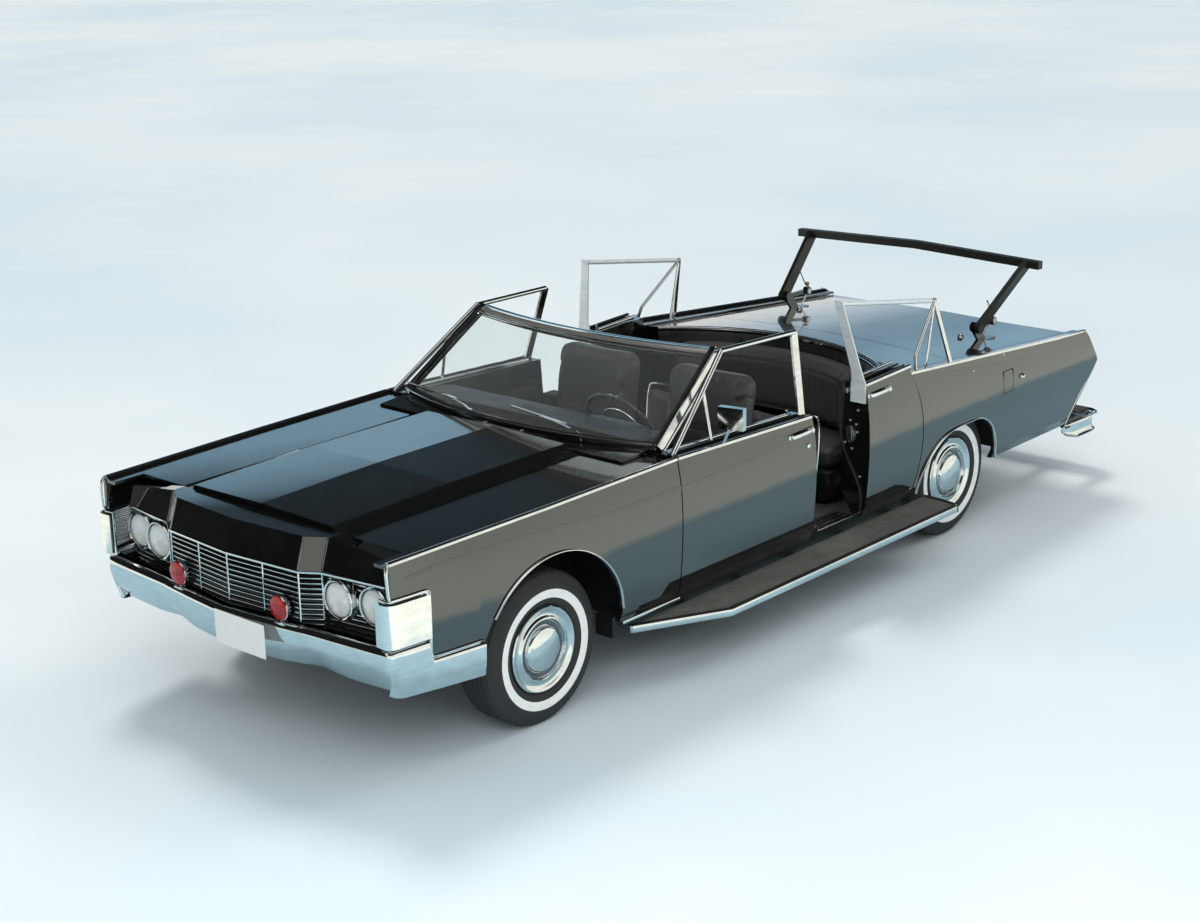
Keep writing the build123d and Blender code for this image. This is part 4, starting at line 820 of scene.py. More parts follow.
def bright_bars():
    """Front edges of the grille's bars, those behind the lamps kept clear of the lamps."""
    low, top, count = 580, 870, 13
    pitch = (top - low) / count
    parts = []
    for i in range(count):
        z = low + (i + 0.5) * pitch + 3
        parts.append(level_bar(z, 4, 503, 5, 5.5))
        for clear in lamp_gaps(z):
            plan = nose_line(24)
            xs = np.interp(clear, plan[:, 1], plan[:, 0])
            parts += pair(carried(np.column_stack([xs, clear, (z, z)]), rounded(4, 6, 1.5)))
    return parts


def lamp_gaps(z):
    """Runs of Y, outboard of the grille, where a bar at height z misses both lamps."""
    reach = math.sqrt(max(0.0, 92 ** 2 - (z - LAMP_Z) ** 2))
    edges = [508]
    for _, y in LAMPS:
        if reach:
            edges += [y - reach, y + reach]
    edges.append(836)
    return [(a, b) for a, b in zip(edges[::2], edges[1::2]) if b - a > 8]


def nose():
    """Header moulding, grille bars and uprights, and the mouldings under the grille."""
    parts = [level_bar(868, -3, NOSE_HALF, 12, 13, 4), level_bar(561, 0, NOSE_HALF, 7, 13, 3),
             level_bar(583, 0, NOSE_HALF, 7, 11, 3)]
    for y in (-210, 0, 210):
        x = np.interp(abs(y), (0, 420), (972, 938)) - 2
        parts.append(rod((x, y, 584), (x, y, 866), 3.5, 8))
    for y in (418, 505):
        x = np.interp(y, (0, 420, 503), (972, 938, 886)) - 1
        parts += pair(rod((x, y, 572), (x, y, 868), 4, 8))
        top = (x - 43, y, 1006 if y < 503 else 1003)
        parts += pair(carried([(x + 1, y, 872), top], rounded(8, 5, 2), (0, 1, 0)))
    parts += bright_bars()
    piece("grille_brightwork", parts, "polished_plate", "body")


def headlamp_parts(x, y):
    """One lamp: a stepped bezel, a silvered bowl and a domed lens; its finishes are 0 bright, 1 silver, 2
    glass, 3 dark."""
    at = (x, y, LAMP_Z)
    bezel = [(-26, 60), (-30, 90), (-4, 91), (4, 89), (8, 84), (6, 78), (-2, 76), (-6, 74), (-8, 70)]
    gasket = [(-7, 75), (0, 76.5), (1, 73.5), (-6, 71)]
    bowl = [(-8, 72), (-20, 60), (-30, 42), (-36, 22), (-38, 0)]
    lens = [(-3, 74), (3, 70), (8, 58), (12, 40), (14, 20), (15, 0)]
    front = (1, 0, 0)
    bulb = [(-36, 0), (-36, 9), (-18, 9), (-12, 12), (-6, 9), (-4, 0)]
    return [(*turned(bezel, at, front, 56), 0), (*turned(gasket + gasket[:1], at, front, 40), 3),
            (*turned(bowl, at, front, 40), 1), (*turned(lens, at, front, 48), 2),
            (*turned(bulb, at, front, 16), 0)]


def corner_lamp_parts():
    """Left wrap-round lamp: clear glass round the corner in a bright frame with an upright divider, over a
    silvered back."""
    corner = smooth_path([(728, 954, 0), (800, 947, 0), (880, 939, 0), (908, 932, 0), (917, 918, 0),
                          (916, 896, 0), (913, 872, 0)], 5)
    low, high = 652, 838
    rows = np.linspace(0, 1, 7)
    glass = corner[:, None] * (1, 1, 0) + np.outer(low + (high - low) * rows, (0, 0, 1))
    bow = (np.sin(np.pi * rows) * 4)[None, :, None]
    away = unit(np.cross((0, 0, 1), np.gradient(corner, axis=0)))[:, None]
    parts = [(*skin(glass - away * bow), 4)]
    parts.append((*skin(glass + away * 22), 1))
    for z, finish, size in ((low - 4, 0, (10, 12)), (low + 5, 3, (6, 7)), (high - 7, 3, (6, 14)),
                            (high + 5, 0, (10, 12))):
        line = corner.copy()
        line[:, 2] = z
        parts.append((*carried(line - away[:, 0] * (2 if finish == 0 else 1), rounded(*size, 2.5)), finish))
    for i, radius, finish in ((0, 6, 0), (1, 5, 3), (19, 3, 3), (len(corner) - 3, 4, 3),
                              (len(corner) - 1, 6, 0)):
        x, y = corner[i, :2] - away[i, 0, :2] * 1.5
        parts.append((*rod((x, y, low - 6), (x, y, high + 6), radius, 10), finish))
    parts.append((*slab((730, 866, low - 4), (905, 915, low + 2)), 0))
    return parts


def lamps():
    """Four headlamps and the two wrap-round corner lamps."""
    parts = []
    for v, f, i in headlamp_parts(*LAMPS[0]) + headlamp_parts(*LAMPS[1]) + corner_lamp_parts():
        parts += [(v, f, i), (*mirrored((v, f)), i)]
    lamp = piece("front_lamp_set", parts,
                 ["polished_plate", "reflector_silver", "lamp_glass", "seal_rubber", "marker_glass"], "body")
    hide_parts("front_lamps")
    red = []
    for y in (333, -333):
        at = (976, y, 702)
        shell = [(-22, 0), (-30, 20), (-28, 40), (-10, 54), (4, 56), (8, 54)]
        lens = [(4, 54), (10, 50), (14, 36), (16, 18), (17, 0)]
        red += [(*turned(shell, at, (1, 0, 0), 40), 0), (*turned(lens, at, (1, 0, 0), 40), 1),
                (*rod((970, y, 655), (970, y, 638), 9), 0), (*slab((948, y - 22, 634), (994, y + 22, 645)), 0)]
    lamp = piece("warning_lamp_set", red, ["polished_plate", "ruby_lens"], "body")
    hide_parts("warning_lamps")


def bumper():
    """Front bumper: a section that rolls under at its foot and over at its top, carried along the nose and
    round each corner to the wheel; its foot rises and its top steps down behind the corner lamp."""
    front = [(1032, 0), (1010, 200), (984, 400), (972, 480), (958, 640), (944, 800), (935, 885), (926, 918),
             (908, 934), (870, 938)]
    xs = np.array((840, 800, 760, 735, 724, 708, 696, 660, 600, 540, 480, 434), float)
    dense = np.vstack([smooth_path([(x, y, 0) for x, y in front], 5)[:, :2],
                       np.column_stack([xs, np.interp(xs, (434, 640, 870), (982, 964, 938))])])
    line = np.vstack([dense[:0:-1] * (1, -1), dense])
    run = np.abs(line[:, 1])
    x = line[:, 0]
    side = (x < 925) & (run > 900)
    foot = np.where(side, np.interp(x, (434, 860, 925), (392, 414, 438)), 440)
    roof = np.where(side, np.interp(x, (434, 708, 724), (549, 556, 641)), 641.0)
    under = np.where(side, np.interp(x, (434, 860, 925), (14, 26, 55)), 70)
    dip = 1 + 0.35 * np.exp(-((run - 470) / 90) ** 2)
    t = np.linspace(0, 1, 19)
    z = foot[:, None] + (roof - foot)[:, None] * t
    inward = (under * dip)[:, None] * (1 - t) ** 2.4 + 20 * np.clip((t - 0.86) / 0.14, 0, 1) ** 2.2
    level = np.column_stack([line, np.zeros(len(line))])
    inside = unit(np.cross((0, 0, 1), unit(np.gradient(level, axis=0))))
    points = level[:, None] + inside[:, None] * inward[..., None]
    points[..., 2] = z
    shelf = points[:, -1:] + inside[:, None] * 26
    outer = np.concatenate([points, shelf], 1)
    back = outer[:, ::-1] + inside[:, None] * 10 * (1, 1, 0)
    back[:, 1:, 2] = outer[:, ::-1][:, 1:, 2]
    shell = piece("bumper_plate", [skin(np.concatenate([outer, back], 1), wrap_m=True, caps=True)],
                  "polished_plate", "body", 50)
    braces = [bar((600, y, 400), (930, y, 520), 44, 20, 4) for y in (412, -412)]
    piece("bumper_brackets", braces, "underbody_satin", "body")
    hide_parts("front_bumper")
    screws = [rod((1033, y, z), (1036.5, y, z), 5, 10) for y in (45, 225) for z in (600, 512)]
    piece("plate_screws", screws, "satin_plate", "body")


# ---- Wheels: radii in millimetres ----
TYRE, RIM = 348, 196
BAND_INNER, BAND_OUTER = 231.5, 271.5
SHOULDER = 306
FACE_SLOTS = 84


def tread(a, h, r):
    """Tyre surface: grooves run round the tread, close ribs cross its shoulders, and the rest keeps the
    moulded form. h is the distance across the tyre and r the radius; both are lowered by the pattern's
    depth."""
    across = np.abs(h)
    crown = np.clip((r - (TYRE - 12)) / 6, 0, 1)
    grooves = crown * 5.0 * (np.cos(h * 2 * math.pi / 27) > 0.72)
    shoulder = np.clip((r - SHOULDER) / 10, 0, 1) * np.clip((TYRE - 2 - r) / 6, 0, 1)
    ribs = shoulder * 2.2 * (np.sin(a * 90) > 0.25)
    return h - np.sign(h) * ribs * (across > 60), r - grooves


def tyre_profile():
    """Half section from the tread's middle to the bead, mirrored: a flat crown, round shoulder, bulging
    sidewall with a raised band."""
    outer = [(0, TYRE)] + [(x, TYRE - 0.00022 * x * x) for x in range(3, 70, 3)]
    outer += [(74, 346.0), (80, 343.5), (86, 339), (90, 334), (93, 328), (96, 320), (99, 312), (103, 303),
              (107, 293), (109.5, 284), (110.6, 276), (110.8, 272), (111.4, 271), (110.8, 252), (109, 240),
              (107.4, 232), (106.4, 231), (104.5, 224), (101, 214), (95, 204), (88, 198), (80, RIM)]
    outer = np.array(outer, float)
    inner = outer[:0:-1] * (-1, 1)
    return np.vstack([inner, outer, [(0, RIM)]])


def cover_profile():
    """Wheel cover from its rim lip in to the domed centre: lip, dished band, step, slotted ring, step and
    dome."""
    return [(60, RIM), (90, 197), (100, 195), (104, 190), (103, 184), (98, 176), (93, 166), (92, 156),
            (95, 150), (100, 146), (103, 141), (103, 137), (97, 134), (90, 131), (88, 127), (88, 108),
            (90, 104), (97, 101), (103, 98), (106, 94), (107, 88), (110, 78), (114, 62), (117, 42), (119, 20),
            (119.5, 0)]


def wheels():
    """Tyres with tread, shoulder ribs and a pale band, and wheel covers with a ring of slots; one set a
    wheel."""
    profile, cover = tyre_profile(), cover_profile()
    back = [(60, RIM), (-80, RIM), (-80, 184), (50, 170), (52, 60), (56, 34), (82, 34), (82, 0)]
    for name in ("front_left", "front_right", "rear_left", "rear_right"):
        x = 0 if "front" in name else -WHEELBASE
        sign = 1 if "left" in name else -1
        at, axis = (x, sign * TRACK, HUB), (0, sign, 0)
        v, f = turned(profile, at, axis, 240, tread)
        radius = np.hypot(v[:, 0] - x, v[:, 2] - HUB)
        out = (v[:, 1] - sign * TRACK) * sign
        band = (radius > BAND_INNER) & (radius < BAND_OUTER) & (out > 107)
        faces = np.array(f)
        pale = band[faces].all(1)
        tyre = piece(f"tyre_{name}_detail", [(v, faces[~pale].tolist(), 0), (v, faces[pale].tolist(), 1)],
                     ["tyre_rubber", "white_band"], f"wheel_{name}", 50)
        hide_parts(f"tyre_{name}")
        a = np.linspace(0, 2 * math.pi, FACE_SLOTS, endpoint=False)
        parts = [(*turned(cover, at, axis, 96), 0), (*turned(back, at, axis, 64), 2),
                 (*fins(at, sign, a, 109, 129, 88, 97), 0),
                 (*turned([(88.6, 130), (88.8, 108)], at, axis, 64), 1)]
        wheel = piece(f"wheel_{name}_cover", parts, ["polished_plate", "seal_rubber", "underbody_satin"],
                      f"wheel_{name}")
        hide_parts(f"wheel_{name}")


def fins(at, sign, angles, r0, r1, low, high):
    """A ring of small wedge bars: each is a box from radius r0 to r1, placed by its angle, all worked out
    at once."""
    half = 0.016
    corner = np.array([(r0, low, -1), (r1, low, -1), (r1, low, 1), (r0, low, 1), (r0 + 1, high - 1, -0.6),
                       (r1 - 1, high, -0.6), (r1 - 1, high, 0.6), (r0 + 1, high - 1, 0.6)], float)
    a = angles[:, None] + corner[:, 2] * half
    r = np.broadcast_to(corner[:, 0], a.shape)
    points = np.stack([at[0] + r * np.cos(a), at[1] + sign * np.broadcast_to(corner[:, 1], a.shape),
                       at[2] + r * np.sin(a)], -1)
    block = np.array([(0, 3, 2, 1), (4, 5, 6, 7), (0, 1, 5, 4), (1, 2, 6, 5), (2, 3, 7, 6), (3, 0, 4, 7)])
    faces = (block[None] + 8 * np.arange(len(angles))[:, None, None]).reshape(-1, 4)
    return points.reshape(-1, 3), faces.tolist()


# ---- Windscreen ----
def bowed(x, y, z, out):
    """An arc in plan from side to side through x + out in the middle: a circle through its ends and its
    crown."""
    side = np.linspace(-y, y, 24)
    radius = (y * y + out * out) / (2 * out)
    return np.column_stack([x + out - radius + np.sqrt(radius ** 2 - side ** 2), side, np.full(24, z)])


def windscreen():
    """Rounded header and foot mouldings, pillar covers, rubber seals, wipers and washer jets."""
    metal, dark, rub = [], [], []
    header = bowed(-1360, 752, 1376, 105)
    cap = [(-24, -12), (-26, -2), (-20, 8), (-6, 14), (10, 14), (22, 8), (26, -2), (24, -12), (10, -16),
           (-10, -16)]
    piece("windscreen_header", [carried(header, cap)], "header_satin", "body")
    metal.append(carried(bowed(-1322, 744, 1357, 104), rounded(10, 9, 3)))
    metal.append(carried(bowed(-842, 806, 1051, 148), rounded(16, 9, 4)))
    rub.append(carried(bowed(-1326, 736, 1346, 104), rounded(12, 12, 3)))
    rub.append(carried(bowed(-858, 798, 1054, 148), rounded(12, 12, 3)))
    foot, head = np.array((-858, 822, 1036.0)), np.array((-1356, 758, 1380.0))
    rise = head - foot
    for shift, size, group in (((8, 0, 6), (14, 20), metal), ((-14, 6, -10), (20, 10), dark),
                               ((-30, 10, -22), (12, 14), metal), ((20, -14, 8), (10, 10), rub)):
        a, b = foot + shift, foot + rise * 0.985 + shift
        group.extend(pair(carried([a, (a + b) / 2 + (0, 1, 0), b], rounded(*size, 4), (0, 1, 0))))
    for y in (-370, 352):
        pivot = np.array((-753, y + 100, 1044.0))
        arm_end = pivot + (-80, -330, 26)
        metal.append(rod(pivot - (0, 0, 14), pivot + (0, 0, 10), 13))
        metal.append(carried([pivot + (0, 0, 8), pivot + (-20, -60, 18), pivot + (-58, -220, 26), arm_end],
                             rounded(11, 5, 2)))
        blade = smooth_path([arm_end + (24, 190, 0), arm_end + (2, 0, 4), arm_end + (-20, -210, 10)], 6)
        metal.append(carried(blade, rounded(7, 7, 2)))
        dark.append(carried(blade - (3, 0, 7), rounded(4, 9, 1)))
    for y in (-120, 120):
        metal.append(bulged((-700, y, 1028), (14, 10, 7), power=3))
    piece("windscreen_trim", metal, "polished_plate", "body")
    piece("windscreen_infill", dark, "rim_plastic", "body")
    piece("windscreen_seal", rub, "seal_rubber", "body")


# ---- Doors ----
def handle_parts(x, z, y):
    """Outside handle: a curved pull on two feet with a push button, and a lock with its shield below."""
    pull = smooth_path([(x + 92, y + 4, z - 3), (x + 80, y + 18, z - 1), (x + 30, y + 24, z + 1),
                        (x - 40, y + 23, z + 3), (x - 70, y + 18, z + 4)], 4)
    size = np.interp(np.linspace(0, 1, len(pull)), (0, 0.2, 0.8, 1), (0.5, 1, 1, 0.75))
    parts = [carried(pull, rounded(20, 9, 4), (0, 1, 0), scale=size)]
    parts += [slab((x + 74, y - 4, z - 14), (x + 104, y + 8, z + 10)),
              slab((x - 84, y - 4, z - 14), (x - 44, y + 14, z + 16))]
    parts.append(rod((x - 66, y + 8, z + 2), (x - 66, y + 24, z + 2), 11))
    return parts


DOORS = {
    "front_door": {"handle": (-1745, 925), "proud": 0, "lock": (-1790, 852), "rise": 0, "knob": -1760,
                   "window": (-845, -1838)},
    "rear_door": {"handle": (-2410, 985), "proud": 1, "lock": None, "rise": 40, "knob": -2345,
                  "window": (-2308, -2680)},
}


def doors():
    """Outside handles, locks, lock knobs, window sills' rubber and the inner trim of all four doors."""
    for side, sign in SIDES:
        for which, door in DOORS.items():
            body, rise, kx = f"{which}_{side}", door["rise"], door["knob"]
            x, z = door["handle"]
            metal = handle_parts(x, z, float(wall_y(x, z)) + door["proud"])
            if door["lock"]:
                lx, lz = door["lock"]
                metal.append(bulged((lx, float(wall_y(lx, lz)) + 1, lz), (13, 5, 13), power=2.5))
            top = float(belt_z(x)) + rise
            metal += [rod((kx, 872, top - 4), (kx, 872, top + 26), 4.5),
                      bulged((kx, 872, top + 28), (7, 7, 6), power=2)]
            piece(f"{which}_handle_{side}", on_side(metal, sign), "polished_plate", body)
            x0, x1 = door["window"]
            xs = np.linspace(x0, x1, 10)
            sweep = [carried(np.column_stack([xs, side_y(xs) - inset, belt_z(xs) + rise + 1]),
                             rounded(6, 10, 2)) for inset in (28, 68)]
            piece(f"{which}_window_seal_{side}", on_side(sweep, sign), "seal_rubber", body)
            trim, plate = door_trim(x0, x1, rise, which)
            piece(f"{which}_trim_{side}", on_side(trim, sign), "trim_leather", body, 60)
            piece(f"{which}_trim_metal_{side}", on_side(plate, sign), "polished_plate", body)


def door_trim(x0, x1, rise, which):
    """Inner trim: an upright pleated panel, a plain padded band above, an armrest and the window winder and
    latch."""
    inner = side_y(-1400) - 135
    top = float(belt_z((x0 + x1) / 2)) + rise
    us, vs = np.linspace(x0 - 30, x1 + 30, 150), np.linspace(0, 1, 24)
    z = 440 + (top - 130 - 440) * vs
    along = np.minimum(np.abs(us - us[0]), np.abs(us - us[-1]))
    edge = np.minimum(1, np.minimum(vs, 1 - vs) * 9)[None] * np.minimum(1, along / 18)[:, None]
    pleat = 5 * np.abs(np.sin(math.pi * us / 34))[:, None] ** 0.6 * np.clip((0.62 - vs) * 14, 0, 1)[None]
    y = inner - (9 + pleat) * edge ** 0.6 + 8 * (1 - edge)
    trim = [skin(sheet(us[:, None], y, z[None]))]
    mid = (x0 + x1) / 2
    reach = 0.28 * abs(x1 - x0)
    arm = smooth_path([(mid + reach, inner - 18, 700), (mid + reach * 0.5, inner - 40, 712),
                       (mid - reach * 0.5, inner - 42, 716), (mid - reach, inner - 20, 706)], 5)
    trim.append(carried(arm, rounded(62, 58, 18, 4),
                        scale=np.interp(np.linspace(0, 1, len(arm)), (0, 0.15, 0.85, 1),
                                        (0.55, 1, 1, 0.55))))
    lx = x0 - 210 if which == "front_door" else mid + 60
    plate = [slab((lx - 52, inner - 16, 806), (lx + 52, inner - 4, 836)),
             bar((lx - 38, inner - 24, 820), (lx + 66, inner - 34, 828), 16, 8, 3)]
    plate += [rod((lx - 120, inner - 4, 640), (lx - 120, inner - 26, 640), 15),
              bar((lx - 120, inner - 28, 640), (lx - 190, inner - 32, 656), 14, 7, 3),
              rod((lx - 190, inner - 30, 656), (lx - 190, inner - 56, 656), 11)]
    plate.append(carried([(x0 - 34, inner - 14, 749.2), (x1 + 34, inner - 14, 749.2)], rounded(9, 6, 2),
                         (0, 1, 0)))
    return trim, plate


def shut_faces():
    """Fittings on the rear doors' shut faces: bolts, latch plate with its curved guide, edge beading and a
    checked stay."""
    for side, sign in SIDES:
        x = SHUT_X
        bolts = [(915, 905), (905, 830), (912, 790), (868, 846), (880, 700), (838, 725), (930, 560)]
        metal = [bulged((x + 3, y, z), (5, 7, 7), power=2.2, across=10, down=6)
                 for y, z in bolts]
        arc = [(x + 4, 868 + 26 * math.cos(t), 772 + 40 * math.sin(t)) for t in np.linspace(-1.9, 1.9, 14)]
        metal.append(carried(arc, rounded(7, 9, 2), (1, 0, 0)))
        metal += [slab((x - 2, 850, 740), (x + 8, 884, 806)), slab((x - 2, 838, 985), (x + 16, 858, 1012))]
        piece(f"rear_door_latch_{side}", on_side(metal, sign), "brushed_alloy", f"rear_door_{side}")
        bead = smooth_path([(x + 5, y, z) for y, z in ((812, 1040), (806, 1000), (812, 800), (826, 720),
                                                       (850, 660), (905, 560), (940, 470), (936, 380))], 5)
        seal = [carried(bead, ring(7, 10), (1, 0, 0))]
        piece(f"rear_door_seal_{side}", on_side(seal, sign), "seal_rubber", f"rear_door_{side}")


# ---- Boards, step, handrail ----
def boards():
    """Running boards: ribbed mat, bright edge with a rubber nosing, and a bright sill strip beside the
    doorway."""
    metal, rub = [], []
    edge = 1147.2
    path = np.array([(x, y, 280) for x, y in ((-540, 918), (-543, 928), (-985, edge), (-1500, edge),
                                              (-2200, edge), (-2868, edge), (-2896, 1124), (-2912, 1040),
                                              (-2918, 930))])
    metal += pair(carried(path, rounded(7, 34, 3)))
    rub += pair(carried(path - (0, 12, -18), rounded(18, 5, 2)))
    x0, x1 = -2292, -1986
    metal += pair(slab((x1, 872, 344), (x0, 902, 352))) + pair(slab((x1 + 4, 838, 345), (x0 - 4, 862, 350)))
    metal += pair(slab((x1, 800, 345), (x0, 824, 349)))
    piece("board_edges", metal, "polished_plate", "body")
    piece("board_nosing", rub, "seal_rubber", "body")
    ribs = []
    for y in np.arange(925, 1130, 9.5):
        front = -546 - max(0.0, (y - 926) / 224) * 439
        ribs += pair(carried([(front - 10, y, 295), (-2878, y, 295)],
                             [(-2.6, -1), (-1.6, 1.6), (1.6, 1.6), (2.6, -1)]))
    piece("board_ribs", ribs, "board_rubber", "body")


def step_and_rail():
    """Rear step's rounded face and tread strips; the handrail's end caps, catches with their rods, and deck
    fittings."""
    half = smooth_path([(x, y, 278) for x, y in (
        (-4402, 893), (-4560, 893), (-4720, 893), (-4790, 880), (-4824, 846), (-4836, 780), (-4838, 400),
        (-4838, 0))], 5)
    line = np.vstack([half, half[-2::-1] * (1, -1, 1)])
    run = np.concatenate([[0], np.cumsum(np.linalg.norm(np.diff(line, axis=0), axis=1))])
    end = np.minimum(run, run[-1] - run)
    size = np.interp(end, (0, 40, 170), (0.42, 0.66, 1.0))
    line[:, 2] += 54 * (1 - size)
    section = [(-16, -50), (-22, -34), (-24, -6), (-22, 24), (-14, 46), (0, 54), (12, 52), (16, 42),
               (12, 40), (0, 42), (-10, 34), (-14, 14), (-15, -14), (-11, -36), (4, -50), (2, -56), (-8, -56)]
    bar_cover = carried(line, np.array(section, float) * (-1, 1), scale=size)
    tread_plate = slab((-4826, -846, 326), (-4688, 846, 334))
    back_wall = slab((-4700, -846, 240), (-4690, 846, 330))
    cover = piece("rear_step_plate", [bar_cover, tread_plate, back_wall], "polished_plate", "rear_step",
                  40)
    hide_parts("rear_step")
    treads = [carried([(-4706 - 22 * i, -820, 336), (-4706 - 22 * i, 820, 336)], rounded(11, 5, 2))
              for i in range(6)]
    treads += pair(slab((-4690, 858, 332), (-4470, 886, 338)))
    piece("rear_step_treads", treads, "board_rubber", "rear_step")
    arms = pair(slab((-4700, 516, 248), (-4104, 564, 300)))
    arms += pair(bar((-4470, 868, 330), (-4392, 868, 372), 46, 20, 4))
    arms += pair(slab((-4500, 846, 300), (-4440, 890, 330)))
    piece("rear_step_arms", arms, "underbody_satin", "rear_step", 40)
    x, ear = -3991, 647
    metal = pair(rod((x, ear - 24, 1000), (x, ear + 14, 1000), 17))
    metal += pair(rod((x, ear - 6, 1000), (x, ear - 6, 1034), 8))
    brass = pair(rod((x, ear - 10, 1006), (x, ear - 10, 1030), 11))
    brass += pair(bulged((x, ear - 4, 1044), (14, 14, 10), power=2.4))
    metal += pair(rod((-3925, ear, 1128), (-3984, ear, 1034), 3.6, 8))
    stay = [(-3984, ear - 8, 996), (-3950, ear - 12, 950), (-3900, ear - 10, 922), (-3870, ear - 4, 916)]
    metal += pair(carried(smooth_path(stay, 4), ring(3.4, 8), (0, 1, 0)))
    piece("rail_catches", metal, "brushed_alloy", "deck_lid")
    piece("rail_catch_grips", brass, "brass_catch", "deck_lid")
    knob = [(0, 0), (0, 20), (4, 21), (8, 15), (10, 13), (18, 16), (22, 12), (24, 0)]
    parts = [turned(knob, (-3800, y, float(deck_z(-3800, y)) - 2), (0, 0, 1), 24) for y in (558, -558)]
    piece("deck_knobs", parts, "polished_plate", "deck_lid")


def tail():
    """Rear lamps with bright frames, the tail's edge mouldings, fuel door and side lock."""
    edge = [(-4538, 880), (-4546, 866), (-4600, 760), (-4636, 694), (-4600, 640), (-4470, 520), (-4370, 400),
            (-4336, 356)]
    rows = smooth_path([(x, 0, z) for x, z in edge], 5)
    path = np.column_stack([rows[:, 0], wall_y(rows[:, 0], np.minimum(rows[:, 2], 862)) - 2, rows[:, 2]])
    metal = pair(carried(path, rounded(8, 8, 3), (0, 1, 0)))
    z = np.linspace(708, 826, 12)
    x = tail_x(z)
    y0, y1 = 352, 880
    lens = pair(skin(sheet((x - 8)[:, None], np.linspace(y0, y1, 40)[None], z[:, None])))
    corners = [(x[0] - 8, y0, z[0]), (x[0] - 8, y1, z[0]), (x[-1] - 8, y1, z[-1]), (x[-1] - 8, y0, z[-1])]
    frame_parts = pair(carried(corners, rounded(9, 9, 3), (1, 0, 0), closed=True))
    for y in np.linspace(y0, y1, 9)[1:-1]:
        frame_parts += pair(rod((x[0] - 9, y, z[0]), (x[-1] - 9, y, z[-1]), 3, 8))
    for zz in (706, 764, 826):
        xx = float(tail_x(zz)) - 8
        frame_parts.append(carried([(xx, -346, zz), (xx, 346, zz)], rounded(7, 7, 2)))
    piece("tail_brightwork", metal + frame_parts, "polished_plate", "body")
    piece("tail_lenses", lens, "tail_glass", "body")
    cx, cz = -3640, 775
    a = np.array([(-46, -62), (46, -62), (50, -56), (50, 56), (46, 62), (-46, 62), (-50, 56), (-50, -56)],
                 float)
    loop = np.column_stack([cx + a[:, 0], wall_y(cx + a[:, 0], cz + a[:, 1]) + 0.4, cz + a[:, 1]])
    piece("fuel_door_gap", [carried(loop, ring(2.2, 6), (0, 1, 0), closed=True)], "seal_rubber", "body")
    lock = [(0, 0), (0, 17), (5, 18), (9, 13), (13, 13), (18, 8), (19, 0)]
    y = float(wall_y(-3780, 775))
    studs = pair(turned(lock, (-3780, y - 2, 775), (0, 1, 0), 24))
    for x, z in ((-3290, 905), (-3620, 925)):
        studs += pair(bulged((x, float(wall_y(x, z)), z), (6, 3, 6), power=2, across=10, down=6))
    piece("side_lock", studs, "polished_plate", "body")


# ---- Cabin ----
PAD_WAIST = 3.36
CLOTH_FRAMES = 16
COCKPIT_RADIUS, COCKPIT_X = 1111, -1899


def pad_grid(low, high, crown):
    """A closed cushion: a rounded box whose broad faces crown outward by a product of cosines and whose
    sides pull in between the corners. Its points are worked out from directions on a sphere raised to a
    low power."""
    low, high = np.asarray(low, float), np.asarray(high, float)
    centre, half = (low + high) / 2, (high - low) / 2
    v, f = bulged(0, 1, power=7, across=104, down=36)
    axis = int(np.argmin(half))
    a, b = [i for i in range(3) if i != axis]
    rise = np.cos(np.clip(v[:, a], -1, 1) * math.pi / 2) * np.cos(np.clip(v[:, b], -1, 1) * math.pi / 2)
    out = v * half
    out[:, axis] += np.sign(v[:, axis]) * np.maximum(rise, 0) ** 0.6 * crown
    for i, other in ((a, b), (b, a)):
        bow = np.abs(v[:, i]) ** 4 * np.cos(np.clip(v[:, other], -1, 1) * math.pi / 2)
        out[:, i] -= np.sign(v[:, i]) * PAD_WAIST * bow
    return out + centre, f


def evaluated(obj):
    """The mesh of an object with its modifiers applied."""
    return bpy.data.meshes.new_from_object(obj.evaluated_get(bpy.context.evaluated_depsgraph_get()))


def stuffed(name, parts, voxel, cap):
    """Blows up a closed form with the cloth solver: the form is remeshed evenly, filled with pressure and no
    gravity, and each point's movement is capped."""
    verts, faces = joined(parts)
    mesh = bpy.data.meshes.new(name + "_core")
    mesh.from_pydata((verts / 1000).tolist(), [], faces)
    face_outwards(mesh)
    core = bpy.data.objects.new(name + "_core", mesh)
    scene = bpy.context.scene
    scene.collection.objects.link(core)
    remesh = core.modifiers.new("even", "REMESH")
    remesh.mode, remesh.voxel_size = "VOXEL", voxel
    settle = core.modifiers.new("settle", "SMOOTH")
    settle.iterations = 3
    even = evaluated(core)
    core.modifiers.clear()
    core.data = even
    rest = points_of(even)
    cloth = core.modifiers.new("stuffing", "CLOTH")
    cloth.settings.use_pressure = True
    cloth.settings.uniform_pressure_force = 4
    cloth.settings.effector_weights.gravity = 0
    cloth.settings.quality = 4
    cloth.settings.tension_stiffness = cloth.settings.compression_stiffness = 18
    cloth.settings.shear_stiffness = 8
    cloth.point_cache.frame_start, cloth.point_cache.frame_end = 1, CLOTH_FRAMES
    for i in range(1, CLOTH_FRAMES + 1):
        scene.frame_set(i)
    moved = points_of(evaluated(core))
    scene.frame_set(1)
    core.modifiers.clear()
    step = moved - rest
    far = np.linalg.norm(step, axis=1, keepdims=True)
    rest = rest + step * np.minimum(1, cap / np.maximum(far, 1e-9))
    faces = np.empty(len(even.loops), np.int32)
    even.loops.foreach_get("vertex_index", faces)
    bpy.data.objects.remove(core)
    return rest * 1000, faces.reshape(-1, 4)


def points_of(mesh):
    """A mesh's vertices as an array."""
    co = np.empty(len(mesh.vertices) * 3, np.float32)
    mesh.vertices.foreach_get("co", co)
    return co.reshape(-1, 3).astype(float)


